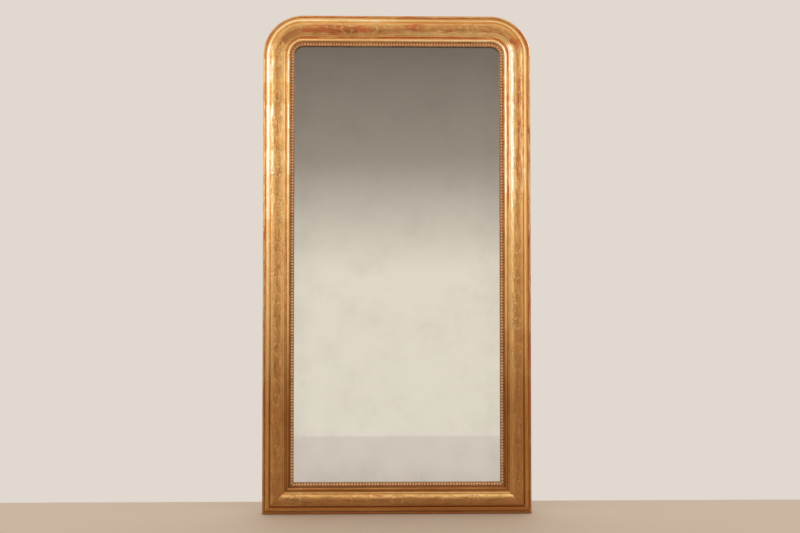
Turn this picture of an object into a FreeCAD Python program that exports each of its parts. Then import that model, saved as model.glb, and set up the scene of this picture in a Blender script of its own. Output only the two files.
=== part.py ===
import FreeCAD, Part
import os
import re

import Sketcher

# Overmantel mirror: a gilded run moulding on a half-lapped base frame, a silvered plate behind
# the moulding's lip, a panelled back and two hanging rings.
# Frame of the part: +X right and +Z up as seen from the front, the front faces -Y, the back plane
# is y = 0 and the origin is the middle of the back plane's lower edge.

# Driving sizes in millimetres and degrees: name, value, meaning.
SIZES = (
    ("overall_width", 915, "outside width of the frame"),
    ("overall_height", 1700, "outside height of the frame"),
    ("sight_corner_radius", 32, "radius of the sight opening's two top corners"),
    ("board_depth", 34, "depth of the base frame's boards"),
    ("lip_overlap", 13, "reach of the moulding's lip past the base frame"),
    ("lip_depth", 4.5, "depth of the lip in front of the glass"),
    ("rim_width", 7, "width of the outer rim"),
    ("rim_height", 11, "height of the rim above the base frame"),
    ("rim_round", 4, "radius of the rim's outer shoulder"),
    ("rim_quirk_width", 2.5, "width of the quirk beside the rim"),
    ("rim_quirk_depth", 3, "depth of the quirk below the rim"),
    ("torus_width", 16.5, "width of the outer torus"),
    ("torus_height", 19, "crest of the torus above the base frame"),
    ("torus_inner_height", 13.5, "inner edge of the torus above the base frame"),
    ("cove_width", 2.5, "width of the cove beside the torus"),
    ("cove_height", 17, "upper edge of the cove above the base frame"),
    ("cove_radius", 6, "radius of the cove"),
    ("frieze_width", 41.5, "width of the cushion frieze"),
    ("frieze_outer_height", 20, "outer edge of the frieze above the base frame"),
    ("frieze_inner_height", 20.8, "inner edge of the frieze above the base frame"),
    ("frieze_radius", 36, "radius of the frieze's cushion"),
    ("astragal_width", 6.2, "width of the small astragal inside the frieze"),
    ("astragal_inner_height", 19.4, "inner edge of the astragal above the base frame"),
    ("astragal_radius", 3.4, "radius of the astragal"),
    ("groove_width", 4.8, "width of the groove inside the astragal"),
    ("groove_height", 17.5, "outer edge of the groove above the base frame"),
    ("groove_radius", 8, "radius of the groove's hollow"),
    ("bead_width", 10, "width of the plain inner bead"),
    ("bead_height", 22.5, "crest of the inner bead above the base frame"),
    ("bead_quirk_width", 3, "width of the quirk between inner bead and pearls"),
    ("pearl_diameter", 9.4, "diameter of one pearl"),
    ("pearl_gap", 0.5, "gap between neighbouring pearls"),
    ("pearl_margin", 0.8, "strip left on each side of the pearls"),
    ("pearl_floor", 0.3, "wood left under a pearl's round"),
    ("strip_gap", 0.2, "glue gap between pearl strip and quirk wall"),
    ("glass_thickness", 5, "thickness of the plate"),
    ("glass_margin", 3, "gap round the plate and the panelled back"),
    ("glass_play", 0.2, "gap between plate and lip"),
    ("glass_arris", 0.8, "ground arris of the plate"),
    ("back_play", 0.3, "gap between plate and panelled back"),
    ("back_thickness", 18, "thickness of the panelled back"),
    ("back_stile_width", 80, "width of the back's stiles"),
    ("back_end_rail_width", 80, "width of the back's top and bottom rails"),
    ("back_mid_rail_width", 70, "width of the back's two middle rails"),
    ("panel_groove_width", 6, "width of the panel grooves"),
    ("panel_groove_depth", 10, "depth of the panel grooves"),
    ("panel_play", 1.5, "gap at the bottom of a panel groove"),
    ("panel_fit", 0.2, "gap on each side of a tongue in its groove"),
    ("panel_field_rise", 4, "rise of the panels' raised field"),
    ("panel_field_inset", 26, "foot of the field's bevel from the groove's edge"),
    ("panel_bevel_angle", 72, "lean of the field's bevel"),
    ("tenon_length", 45, "length of the rails' tenons"),
    ("tenon_shoulder", 14, "shoulder above and below a tenon"),
    ("tenon_fit", 0.2, "gap round a tenon in its mortise"),
    ("tenon_peg_diameter", 6, "diameter of the tenon pegs"),
    ("tenon_peg_inset", 20, "tenon pegs from the stile's inner edge"),
    ("tenon_peg_spacing", 22, "distance between the two pegs of a tenon"),
    ("lap_peg_diameter", 10, "diameter of the half-lap pegs"),
    ("lap_peg_near", 20, "lap pegs from one inner edge of the lap"),
    ("lap_peg_far", 52, "lap pegs from the other inner edge of the lap"),
    ("peg_fit", 0.1, "gap round a peg"),
    ("wedge_length", 60, "length of the wedges beside the plate"),
    ("wedge_end_distance", 210, "wedges from the ends of the plate"),
    ("setting_block_length", 80, "length of the setting blocks"),
    ("setting_block_inset", 110, "setting blocks from the ends of the plate's lower edge"),
    ("cleat_length", 64, "length of a retaining cleat"),
    ("cleat_width", 16, "width of a retaining cleat"),
    ("cleat_setback", 1, "cleats inside the back plane"),
    ("cleat_end_distance", 190, "cleats from the corners of the opening"),
    ("screw_fit", 0.1, "gap round a screw"),
    ("screw_room", 1, "depth of a blind screw hole past the screw's tip"),
    ("screw_sink", 0.3, "screw heads below the wood's surface"),
    ("screw_head_diameter", 9, "head of the moulding screws"),
    ("screw_shank_diameter", 5, "shank of the moulding screws"),
    ("moulding_screw_length", 46, "length of the moulding screws"),
    ("moulding_screw_end", 190, "moulding screws from the ends of the boards"),
    ("small_head_diameter", 6.4, "head of the cleat and hanger screws"),
    ("small_shank_diameter", 3.6, "shank of the cleat and hanger screws"),
    ("cleat_screw_length", 36, "length of the cleat screws"),
    ("hanger_screw_length", 18, "length of the hanger screws"),
    ("hanger_drop", 420, "ring axis below the top of the frame"),
    ("hanger_pocket_depth", 10.6, "depth of the hanger pockets"),
    ("hanger_pocket_side", 4, "room beside the ring in its pocket"),
    ("hanger_pocket_end", 6, "room past the ring and the strap in the pocket"),
    ("strap_width", 20, "width of the hanger strap and its eye"),
    ("strap_length", 54, "hanger strap below the ring axis"),
    ("strap_thickness", 2, "thickness of the hanger strap"),
    ("strap_screw_near", 13, "first strap screw below the ring axis"),
    ("strap_screw_far", 43, "second strap screw below the ring axis"),
    ("eye_play", 0.3, "gap between ring and eye"),
    ("ring_wire", 5, "diameter of the ring's wire"),
    ("ring_width", 36, "width of the ring between wire centres"),
    ("ring_drop", 36, "drop of the ring between wire centres"),
    ("ring_bend", 6, "bend at the two ends of the ring's bar"),
)

LEFT = -1
RIGHT = 1
SIDES = ((LEFT, "left"), (RIGHT, "right"))
FRONT = FreeCAD.Vector(0, -1, 0)

doc = FreeCAD.newDocument("OvermantelMirror")
sheet = doc.addObject("Spreadsheet::Sheet", "Sizes")
for row, (alias, value, meaning) in enumerate(SIZES, start=1):
    sheet.set(f"A{row}", meaning)
    sheet.set(f"B{row}", str(value))
    sheet.setAlias(f"B{row}", alias)
doc.recompute()
ALIASES = re.compile(r"\b(" + "|".join(alias for alias, _, _ in SIZES) + r")\b")

# Places across the moulding's face, from the outer edge inwards.
AT_TORUS = "(rim_width + rim_quirk_width)"
AT_COVE = f"({AT_TORUS} + torus_width)"
AT_FRIEZE = f"({AT_COVE} + cove_width)"
AT_ASTRAGAL = f"({AT_FRIEZE} + frieze_width)"
AT_GROOVE = f"({AT_ASTRAGAL} + astragal_width)"
AT_BEAD = f"({AT_GROOVE} + groove_width)"
AT_QUIRK = f"({AT_BEAD} + bead_width)"
AT_PEARLS = f"({AT_QUIRK} + bead_quirk_width)"
PEARL_LINE = f"({AT_PEARLS} + pearl_margin + pearl_diameter / 2)"
FACE = f"({AT_PEARLS} + 2 * pearl_margin + pearl_diameter)"

# Pearl strip: depth of its wood, pearl spacing and the first pearl clear of a mitre.
STRIP_DEPTH = "(pearl_diameter / 2 + pearl_floor)"
PEARL_PITCH = "(pearl_diameter + pearl_gap)"
PEARL_CLEAR = "(pearl_diameter / 2 * sqrt(2) + pearl_gap / 2)"

# Base frame: board width, inner edges, and the radius and centres of the round corners.
HALF_WIDTH = "(overall_width / 2)"
BOARD = f"({FACE} - lip_overlap)"
INNER_X = f"({HALF_WIDTH} - {BOARD})"
INNER_TOP = f"(overall_height - {BOARD})"
CORNER_RADIUS = f"(sight_corner_radius + {FACE})"
ROUND_X = f"({HALF_WIDTH} - {CORNER_RADIUS})"
ROUND_Z = f"(overall_height - {CORNER_RADIUS})"
ROUND_REACH = f"sqrt({CORNER_RADIUS} ^ 2 - ({CORNER_RADIUS} - {BOARD}) ^ 2)"
LAP_DEPTH = "(board_depth / 2)"

# Plate and panelled back: their shared outline and their depths from the back plane.
PLATE_X = f"({INNER_X} - glass_margin)"
PLATE_BOTTOM = f"({BOARD} + glass_margin)"
PLATE_TOP = f"({INNER_TOP} - glass_margin)"
GLASS_FRONT = "(board_depth - glass_play)"
GLASS_BACK = f"({GLASS_FRONT} - glass_thickness)"
BACK_FRONT = f"({GLASS_BACK} - back_play)"
BACK_REAR = f"({BACK_FRONT} - back_thickness)"
BACK_MIDDLE = f"({BACK_REAR} + back_thickness / 2)"
STILE_EDGE = f"({PLATE_X} - back_stile_width)"
TONGUE_WIDTH = "(panel_groove_width - 2 * panel_fit)"
TONGUE_REACH = "(panel_groove_depth - panel_play)"
BAY = (f"(({PLATE_TOP} - {PLATE_BOTTOM} - 2 * back_end_rail_width"
       " - 2 * back_mid_rail_width) / 3)")

# Hangers: the ring axis, its pocket and the eye round it.
HANGER_X = f"({HALF_WIDTH} - {BOARD} / 2)"
HANGER_Z = "(overall_height - hanger_drop)"
EYE_BORE = "(ring_wire / 2 + eye_play)"
EYE_RADIUS = f"({EYE_BORE} + strap_thickness)"
AXIS_DEPTH = f"(hanger_pocket_depth - {EYE_RADIUS})"
POCKET_HALF = "(ring_width / 2 + ring_wire / 2 + hanger_pocket_side)"
POCKET_ABOVE = "(ring_drop + ring_wire / 2 + hanger_pocket_end)"
POCKET_BELOW = "(strap_length + hanger_pocket_end)"

nodes = []


def bound(formula):
    """Spells a formula of size names out as an expression on the sheet."""
    return ALIASES.sub(r"Sizes.\1", formula)


def number(formula):
    """Works a formula of size names out to a plain number."""
    return float(sheet.evalExpression(bound(formula)))


def bind(thing, formulas):
    """Ties properties of a document object to formulas of size names."""
    for name, formula in formulas.items():
        thing.setExpression(name, bound(formula))


def make_body(label, place=None, turn=0):
    """Starts a sub-part, turned about the depth axis and moved to its place."""
    body = doc.addObject("PartDesign::Body", label)
    body.Label = label
    body.Placement = FreeCAD.Placement(
        FreeCAD.Vector(), FreeCAD.Rotation(FreeCAD.Vector(0, 1, 0), turn)
    )
    for axis, formula in (place or {}).items():
        bind(body, {f"Placement.Base.{axis}": formula})
    nodes.append(body)
    return body


def origin_feature(body, role):
    return next(part for part in body.Origin.OriginFeatures if part.Role == role)


def make_sketch(body, role, name, offset="0"):
    """Adds a sketch on one of the body's own origin planes, moved along the plane's normal."""
    sketch = body.newObject("Sketcher::SketchObject", name)
    sketch.AttachmentSupport = (origin_feature(body, role), [""])
    sketch.MapMode = "FlatFace"
    bind(sketch, {"AttachmentOffset.Base.z": offset})
    return sketch


def fix_point(sketch, geometry, vertex, place):
    """Holds a point of the sketch at a pair of formulas."""
    for kind, formula in zip(("DistanceX", "DistanceY"), place):
        rule = Sketcher.Constraint(kind, -1, 1, geometry, vertex, number(formula))
        index = sketch.addConstraint(rule)
        bind(sketch, {f"Constraints[{index}]": formula})


def arc_between(start, end, radius, bulge):
    """Returns the short arc from start to end that bulges to the left (1) or right (-1)."""
    chord = end - start
    side = FreeCAD.Vector(-chord.y, chord.x, 0).normalize() * bulge
    height = (radius ** 2 - (chord.Length / 2) ** 2) ** 0.5
    middle = (start + end) / 2
    crest = middle + side * (radius - height)
    return Part.Arc(start, crest, end)


def draw_outline(sketch, corners, arcs=None):
    """Draws a closed loop through corners given as pairs of formulas.

    arcs names the round sides by their first corner, each with its radius and its bulge to the
    left (1) or right (-1) of the way round.
    """
    arcs = arcs or {}
    points = [FreeCAD.Vector(number(x), number(y), 0) for x, y in corners]
    first = sketch.GeometryCount
    tails = []
    for side, start in enumerate(points):
        end = points[(side + 1) % len(points)]
        if side in arcs:
            radius, bulge = arcs[side]
            sketch.addGeometry(arc_between(start, end, number(radius), bulge))
            tails.append(2 if bulge > 0 else 1)
        else:
            sketch.addGeometry(Part.LineSegment(start, end))
            tails.append(1)
    for side, tail in enumerate(tails):
        following = (side + 1) % len(points)
        rule = Sketcher.Constraint(
            "Coincident", first + side, 3 - tail, first + following, tails[following]
        )
        sketch.addConstraint(rule)
        fix_point(sketch, first + side, tail, corners[side])
        if side in arcs:
            rule = Sketcher.Constraint("Radius", first + side, number(arcs[side][0]))
            index = sketch.addConstraint(rule)
            bind(sketch, {f"Constraints[{index}]": arcs[side][0]})
    return sketch


def draw_rectangle(sketch, low, high):
    return draw_outline(sketch, (low, (high[0], low[1]), high, (low[0], high[1])))


def draw_circle(sketch, centre, diameter):
    circle = Part.Circle(
        FreeCAD.Vector(number(centre[0]), number(centre[1]), 0),
        FreeCAD.Vector(0, 0, 1),
        number(diameter) / 2,
    )
    geometry = sketch.addGeometry(circle)
    fix_point(sketch, geometry, 3, centre)
    index = sketch.addConstraint(Sketcher.Constraint("Diameter", geometry, number(diameter)))
    bind(sketch, {f"Constraints[{index}]": diameter})


def add_pad(body, sketch, length, symmetric=False):
    pad = body.newObject("PartDesign::Pad", f"{sketch.Name}_pad")
    pad.Profile = sketch
    pad.SideType = "Symmetric" if symmetric else "One side"
    bind(pad, {"Length": length})
    doc.recompute()
    return pad


def cut_pocket(body, sketch, depth, reverse=False):
    """Cuts the sketch into the body against its normal, or along it, and tests that it cut."""
    before = body.Shape.Volume
    pocket = body.newObject("PartDesign::Pocket", f"{sketch.Name}_pocket")
    pocket.Profile = sketch
    pocket.Reversed = reverse
    bind(pocket, {"Length": depth})
    doc.recompute()
    if body.Shape.Volume >= before:
        raise RuntimeError(f"{pocket.Name} cut nothing")
    return pocket


def drill(body, name, places, diameter, offset, depth, reverse=False):
    """Cuts round holes at the places into the front (or, reversed, from the back) of a body."""
    sketch = make_sketch(body, "XZ_Plane", name, offset)
    for place in places:
        draw_circle(sketch, place, diameter)
    return cut_pocket(body, sketch, depth, reverse)


def drill_countersunk(body, name, places, offset, depth, shank, head):
    """Cuts countersunk screw holes from the back face at this offset towards the front."""
    before = body.Shape.Volume
    sketch = make_sketch(body, "XZ_Plane", name, offset)
    for place in places:
        draw_circle(sketch, place, shank)
    doc.recompute()
    hole = body.newObject("PartDesign::Hole", f"{name}_hole")
    hole.Profile = sketch
    hole.Reversed = True
    hole.DepthType = "Dimension"
    hole.DrillPoint = "Flat"
    hole.HoleCutType = "Countersink"
    hole.HoleCutCustomValues = True
    hole.HoleCutCountersinkAngle = 90
    bind(hole, {
        "Diameter": f"{shank} + 2 * screw_fit",
        "HoleCutDiameter": f"{head} + 2 * screw_fit + 2 * screw_sink",
        "Depth": depth,
    })
    doc.recompute()
    if body.Shape.Volume >= before:
        raise RuntimeError(f"{hole.Name} cut nothing")
    return hole


def add_primitive(kind, name, sizes, base, direction=FreeCAD.Vector(0, 0, 1)):
    """Adds a Part primitive whose own Z axis points along direction."""
    solid = doc.addObject(kind, name)
    turn = FreeCAD.Rotation(FreeCAD.Vector(0, 0, 1), direction)
    solid.Placement = FreeCAD.Placement(FreeCAD.Vector(), turn)
    bind(solid, sizes)
    for axis, formula in zip("xyz", base):
        bind(solid, {f"Placement.Base.{axis}": formula})
    return solid


def add_box(name, low, high):
    sizes = {
        size: f"({top}) - ({bottom})"
        for size, bottom, top in zip(("Length", "Width", "Height"), low, high)
    }
    return add_primitive("Part::Box", name, sizes, low)


def along(start, direction, distance):
    """Returns the formulas of the point at a distance from start along a unit direction."""
    return tuple(f"({place}) + ({step}) * ({distance})" for place, step in zip(start, direction))


def add_peg(name, base, direction, diameter, length):
    sizes = {"Radius": f"({diameter}) / 2", "Height": length}
    return add_primitive("Part::Cylinder", name, sizes, base, direction)


def add_screw(name, head, direction, length, head_diameter, shank_diameter):
    """Adds a countersunk screw with its head's face at head, pointing along direction."""
    head_depth = f"({head_diameter} - {shank_diameter}) / 2"
    cone = add_primitive("Part::Cone", f"{name}_head", {
        "Radius1": f"{head_diameter} / 2",
        "Radius2": f"{shank_diameter} / 2",
        "Height": head_depth,
    }, head, direction)
    shank = add_primitive("Part::Cylinder", f"{name}_shank", {
        "Radius": f"{shank_diameter} / 2",
        "Height": f"{length} - {head_depth} - {shank_diameter}",
    }, along(head, direction, head_depth), direction)
    tip = add_primitive("Part::Cone", f"{name}_tip", {
        "Radius1": f"{shank_diameter} / 2",
        "Radius2": "0",
        "Height": shank_diameter,
    }, along(head, direction, f"{length} - {shank_diameter}"), direction)
    screw = doc.addObject("Part::MultiFuse", name)
    screw.Shapes = [cone, shank, tip]
    return screw


def make_group(label, pieces):
    """Gathers like pieces, each a solid of its own, into one sub-part."""
    group = doc.addObject("Part::Compound", label)
    group.Label = label
    group.Links = pieces
    nodes.append(group)
    return group


def lap_peg_places(side, inner_z, out):
    """Gives the two pegs of a lap, outwards from its inner corner."""
    return (
        (f"{side} * ({INNER_X} + lap_peg_near)", f"{inner_z} + {out} * lap_peg_far"),
        (f"{side} * ({INNER_X} + lap_peg_far)", f"{inner_z} + {out} * lap_peg_near"),
    )


def stile_screw_places(side):
    """Gives the moulding screws of a stile: near both ends and at two places between."""
    first = f"({BOARD} + moulding_screw_end)"
    span = f"({ROUND_Z} - moulding_screw_end - {first})"
    return [(f"{side} * {HANGER_X}", f"{first} + {step} / 3 * {span}") for step in range(4)]


def rail_screw_places(middle_z):
    """Gives the moulding screws of a rail: near both ends and in the middle."""
    reach = f"({INNER_X} - moulding_screw_end)"
    return [(f"{step} * {reach}", middle_z) for step in (-1, 0, 1)]


def corner_screw_place(side):
    """Gives the screw of a corner block, at the inner corner of the top half-lap."""
    return (f"{side} * ({INNER_X} + lap_peg_near)", f"{INNER_TOP} + lap_peg_near")


BOTTOM_MIDDLE = f"({BOARD} / 2)"
TOP_MIDDLE = f"(overall_height - {BOARD} / 2)"


def base_stile(side, word):
    """A base frame stile: full height behind, its front half cut away at both laps."""
    body = make_body(f"base_stile_{word}")
    outer = f"{side} * {HALF_WIDTH}"
    inner = f"{side} * {INNER_X}"
    face = make_sketch(body, "XZ_Plane", f"stile_face_{word}")
    draw_outline(face, (
        (outer, "0"), (inner, "0"), (inner, f"{ROUND_Z} + {ROUND_REACH}"), (outer, ROUND_Z),
    ), {2: (CORNER_RADIUS, side)})
    add_pad(body, face, "board_depth")
    for end, low, high in (("top", INNER_TOP, "overall_height"), ("bottom", "0", BOARD)):
        lap = make_sketch(body, "XZ_Plane", f"stile_lap_{end}_{word}", "board_depth")
        draw_rectangle(lap, (outer, low), (inner, high))
        cut_pocket(body, lap, LAP_DEPTH)
    pocket = make_sketch(body, "XZ_Plane", f"hanger_pocket_{word}")
    draw_rectangle(
        pocket,
        (f"{side} * {HANGER_X} - {POCKET_HALF}", f"{HANGER_Z} - {POCKET_BELOW}"),
        (f"{side} * {HANGER_X} + {POCKET_HALF}", f"{HANGER_Z} + {POCKET_ABOVE}"),
    )
    cut_pocket(body, pocket, "hanger_pocket_depth", reverse=True)
    pegs = lap_peg_places(side, INNER_TOP, 1) + lap_peg_places(side, BOARD, -1)
    drill(body, f"stile_pegs_{word}", pegs, "lap_peg_diameter + 2 * peg_fit", "0",
          "board_depth", reverse=True)
    strap = [(f"{side} * {HANGER_X}", f"{HANGER_Z} - {drop}")
             for drop in ("strap_screw_near", "strap_screw_far")]
    drill(body, f"stile_strap_{word}", strap, "small_shank_diameter + 2 * screw_fit",
          "hanger_pocket_depth", "hanger_screw_length", reverse=True)
    places = stile_screw_places(side) + [corner_screw_place(side)]
    drill_countersunk(body, f"stile_screws_{word}", places, "0", "board_depth",
                      "screw_shank_diameter", "screw_head_diameter")
    drill_cleat_holes(body, f"stile_cleats_{word}", side)


def base_rail(word, inner_z, outer_z, out):
    """A base frame rail: full width in front, its back half cut away at both laps."""
    body = make_body(f"base_rail_{word}")
    face = make_sketch(body, "XZ_Plane", f"rail_face_{word}")
    if out > 0:
        reach = f"({ROUND_X} + {ROUND_REACH})"
        draw_outline(face, (
            (f"-{reach}", inner_z), (reach, inner_z), (ROUND_X, outer_z),
            (f"-{ROUND_X}", outer_z),
        ), {1: (CORNER_RADIUS, -1), 3: (CORNER_RADIUS, -1)})
    else:
        draw_rectangle(face, (f"-{HALF_WIDTH}", outer_z), (HALF_WIDTH, inner_z))
    add_pad(body, face, "board_depth")
    pegs = ()
    for side, hand in SIDES:
        lap = make_sketch(body, "XZ_Plane", f"rail_lap_{word}_{hand}")
        draw_rectangle(lap, (f"{side} * {HALF_WIDTH}", inner_z), (f"{side} * {INNER_X}", outer_z))
        cut_pocket(body, lap, LAP_DEPTH, reverse=True)
        pegs += lap_peg_places(side, inner_z, out)
    drill(body, f"rail_pegs_{word}", pegs, "lap_peg_diameter + 2 * peg_fit", "board_depth",
          "board_depth")
    middle = TOP_MIDDLE if out > 0 else BOTTOM_MIDDLE
    drill_countersunk(body, f"rail_screws_{word}", rail_screw_places(middle), "0", "board_depth",
                      "screw_shank_diameter", "screw_head_diameter")
    if out > 0:
        corners = [corner_screw_place(side) for side, _ in SIDES]
        drill(body, "rail_corner_screws", corners, "screw_shank_diameter + 2 * screw_fit",
              "board_depth", "board_depth")
    drill_rail_cleat_holes(body, f"rail_cleats_{word}", out)


def moulding_profile(sketch, shift="0"):
    """Draws the run moulding's section: outer edge at the shift, back on the base frame."""
    quirk = "(rim_height - rim_quirk_depth)"
    torus_side = "(torus_height - torus_width / 2)"
    torus_fall = "(torus_height - torus_inner_height)"
    torus_inner = f"((torus_width / 2) ^ 2 + {torus_fall} ^ 2) / (2 * {torus_fall})"
    bead_side = "(bead_height - bead_width / 2)"
    floor = f"(lip_depth + {STRIP_DEPTH})"
    corners = (
        ("0", "0"),
        ("0", "rim_height - rim_round"),
        ("rim_round", "rim_height"),
        ("rim_width", "rim_height"),
        ("rim_width", quirk),
        (AT_TORUS, quirk),
        (AT_TORUS, torus_side),
        (f"{AT_TORUS} + torus_width / 2", "torus_height"),
        (AT_COVE, "torus_inner_height"),
        (AT_FRIEZE, "cove_height"),
        (AT_FRIEZE, "frieze_outer_height"),
        (AT_ASTRAGAL, "frieze_inner_height"),
        (AT_GROOVE, "astragal_inner_height"),
        (AT_GROOVE, "groove_height"),
        (AT_BEAD, bead_side),
        (f"{AT_BEAD} + bead_width / 2", "bead_height"),
        (AT_QUIRK, bead_side),
        (AT_QUIRK, floor),
        (AT_PEARLS, floor),
        (AT_PEARLS, "lip_depth"),
        (FACE, "lip_depth"),
        (FACE, "0"),
    )
    convex = -1
    hollow = 1
    arcs = {
        1: ("rim_round", convex),
        6: ("torus_width / 2", convex),
        7: (torus_inner, convex),
        8: ("cove_radius", hollow),
        10: ("frieze_radius", convex),
        11: ("astragal_radius", convex),
        13: ("groove_radius", hollow),
        14: ("bead_width / 2", convex),
        15: ("bead_width / 2", convex),
    }
    places = [(f"{u} - ({shift})", f"-(board_depth + {rise})") for u, rise in corners]
    draw_outline(sketch, places, arcs)


def strip_profile(sketch, shift="0"):
    """Draws the pearl strip's plain section on the lip."""
    low = (f"{AT_PEARLS} + strip_gap - ({shift})", f"-(board_depth + lip_depth + {STRIP_DEPTH})")
    high = (f"{FACE} - ({shift})", "-(board_depth + lip_depth)")
    draw_rectangle(sketch, low, high)


def cut_mitres(body, name, length, ends):
    """Cuts 45 degree mitres at the named ends of a run, from its outer edge inwards."""
    for end in ends:
        mitre = make_sketch(body, "XZ_Plane", f"{name}_mitre_{end}", "board_depth")
        square, tip = ("0", FACE) if end == "start" else (length, f"{length} - {FACE}")
        draw_outline(mitre, (("0", square), (FACE, square), (FACE, tip)))
        cut_pocket(body, mitre, "frieze_radius + bead_height", reverse=True)


# The four straight runs: name, length, turn about the depth axis, place and mitred ends.
RUNS = (
    ("left", ROUND_Z, 0, (f"-{HALF_WIDTH}", "0"), ("start",)),
    ("right", ROUND_Z, 180, (HALF_WIDTH, ROUND_Z), ("end",)),
    ("top", f"(2 * {ROUND_X})", 90, (f"-{ROUND_X}", "overall_height"), ()),
    ("bottom", "overall_width", -90, (HALF_WIDTH, "0"), ("start", "end")),
)


def moulding_run(word, length, turn, place, ends):
    """A straight length of the gilded moulding with blind holes for its screws."""
    body = make_body(f"moulding_{word}", dict(zip("xz", place)), turn)
    section = make_sketch(body, "XY_Plane", f"moulding_section_{word}")
    moulding_profile(section)
    add_pad(body, section, length)
    cut_mitres(body, f"moulding_{word}", length, ends)
    holes = moulding_hole_places(word, length)
    drill(body, f"moulding_screw_holes_{word}", holes, "screw_shank_diameter + 2 * screw_fit",
          "board_depth", "moulding_screw_length - board_depth + screw_room", reverse=True)


def moulding_hole_places(word, length):
    """Gives a run's screw holes in its own frame, on the line of the base frame's screws."""
    line = f"({BOARD} / 2)"
    if word in ("left", "right"):
        heights = [z for _, z in stile_screw_places(RIGHT)]
        if word == "right":
            heights = [f"{length} - ({z})" for z in heights]
    else:
        heights = [f"{length} / 2 + {x}" for x, _ in rail_screw_places("0")]
    return [(line, z) for z in heights]


def moulding_corner(side, word):
    """A turned corner block: a quarter turn of the moulding's section."""
    place = {"x": f"{side} * {ROUND_X}", "z": ROUND_Z}
    body = make_body(f"moulding_corner_{word}", place, 0 if side == LEFT else 90)
    section = make_sketch(body, "XY_Plane", f"corner_section_{word}")
    moulding_profile(section, CORNER_RADIUS)
    add_quarter_turn(body, section)
    reach = f"({CORNER_RADIUS} - {BOARD} + lap_peg_near)"
    drill(body, f"corner_screw_hole_{word}", [(f"-{reach}", reach)],
          "screw_shank_diameter + 2 * screw_fit",
          "board_depth", "moulding_screw_length - board_depth + screw_room", reverse=True)


def add_quarter_turn(body, sketch):
    """Turns a section a quarter round the body's depth axis, from the left to the top."""
    turn = body.newObject("PartDesign::Revolution", f"{sketch.Name}_turn")
    turn.Profile = sketch
    turn.ReferenceAxis = (origin_feature(body, "Y_Axis"), [""])
    turn.Angle = 90
    doc.recompute()
    if turn.Shape.BoundBox.ZMin < -1:
        turn.Reversed = True
        doc.recompute()
    return turn


def add_pearl(body, name, plane, offset):
    """Adds one pearl, half sunk in its strip."""
    pearl = body.newObject("PartDesign::AdditiveSphere", name)
    pearl.AttachmentSupport = (origin_feature(body, plane), [""])
    pearl.MapMode = "FlatFace"
    bind(pearl, {"Radius": "pearl_diameter / 2"})
    for axis, formula in zip("xyz", offset):
        bind(pearl, {f"AttachmentOffset.Base.{axis}": formula})
    doc.recompute()
    return pearl


PEARL_DEPTH = f"(board_depth + lip_depth + {STRIP_DEPTH})"


def bead_strip_run(word, length, turn, place, ends):
    """A straight pearl strip, its pearls spaced evenly over its length."""
    body = make_body(f"bead_strip_{word}", dict(zip("xz", place)), turn)
    section = make_sketch(body, "XY_Plane", f"strip_section_{word}")
    strip_profile(section)
    add_pad(body, section, length)
    cut_mitres(body, f"strip_{word}", length, ends)
    mitred = f"({PEARL_LINE} + {PEARL_CLEAR})"
    square = f"({PEARL_PITCH} / 2)"
    first = mitred if "start" in ends else square
    last = mitred if "end" in ends else square
    span = f"({length} - {first} - {last})"
    pearl = add_pearl(body, f"pearl_{word}", "XY_Plane", (PEARL_LINE, f"-{PEARL_DEPTH}", first))
    course = body.newObject("PartDesign::LinearPattern", f"pearl_course_{word}")
    course.Originals = [pearl]
    course.Direction = (origin_feature(body, "Z_Axis"), [""])
    bind(course, {"Length": span, "Occurrences": f"round({span} / {PEARL_PITCH}) + 1"})
    body.Tip = course


def bead_strip_corner(side, word):
    """A quarter ring of pearl strip inside a round corner."""
    place = {"x": f"{side} * {ROUND_X}", "z": ROUND_Z}
    body = make_body(f"bead_strip_corner_{word}", place, 0 if side == LEFT else 90)
    section = make_sketch(body, "XY_Plane", f"strip_corner_section_{word}")
    strip_profile(section, CORNER_RADIUS)
    add_quarter_turn(body, section)
    radius = f"({CORNER_RADIUS} - {PEARL_LINE})"
    count = f"round(pi / 2 * {radius} / {PEARL_PITCH})"
    half_step = f"(45 / {count})"
    pearl = add_pearl(body, f"pearl_corner_{word}", "XZ_Plane", (
        f"-{radius} * cos({half_step})", f"{radius} * sin({half_step})", PEARL_DEPTH,
    ))
    course = body.newObject("PartDesign::PolarPattern", f"pearl_ring_{word}")
    course.Originals = [pearl]
    course.Axis = (origin_feature(body, "Y_Axis"), [""])
    bind(course, {"Angle": f"90 - 2 * {half_step}", "Occurrences": count})
    body.Tip = course


def mirror_glass():
    """The silvered plate, square-cornered behind the lip, with ground arrises."""
    body = make_body("mirror_glass")
    face = make_sketch(body, "XZ_Plane", "glass_face", GLASS_BACK)
    draw_rectangle(face, (f"-{PLATE_X}", PLATE_BOTTOM), (PLATE_X, PLATE_TOP))
    pad = add_pad(body, face, "glass_thickness")
    arris = body.newObject("PartDesign::Chamfer", "glass_arrises")
    arris.Base = (pad, ["Face1"])
    arris.UseAllEdges = True
    bind(arris, {"Size": "glass_arris"})


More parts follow.
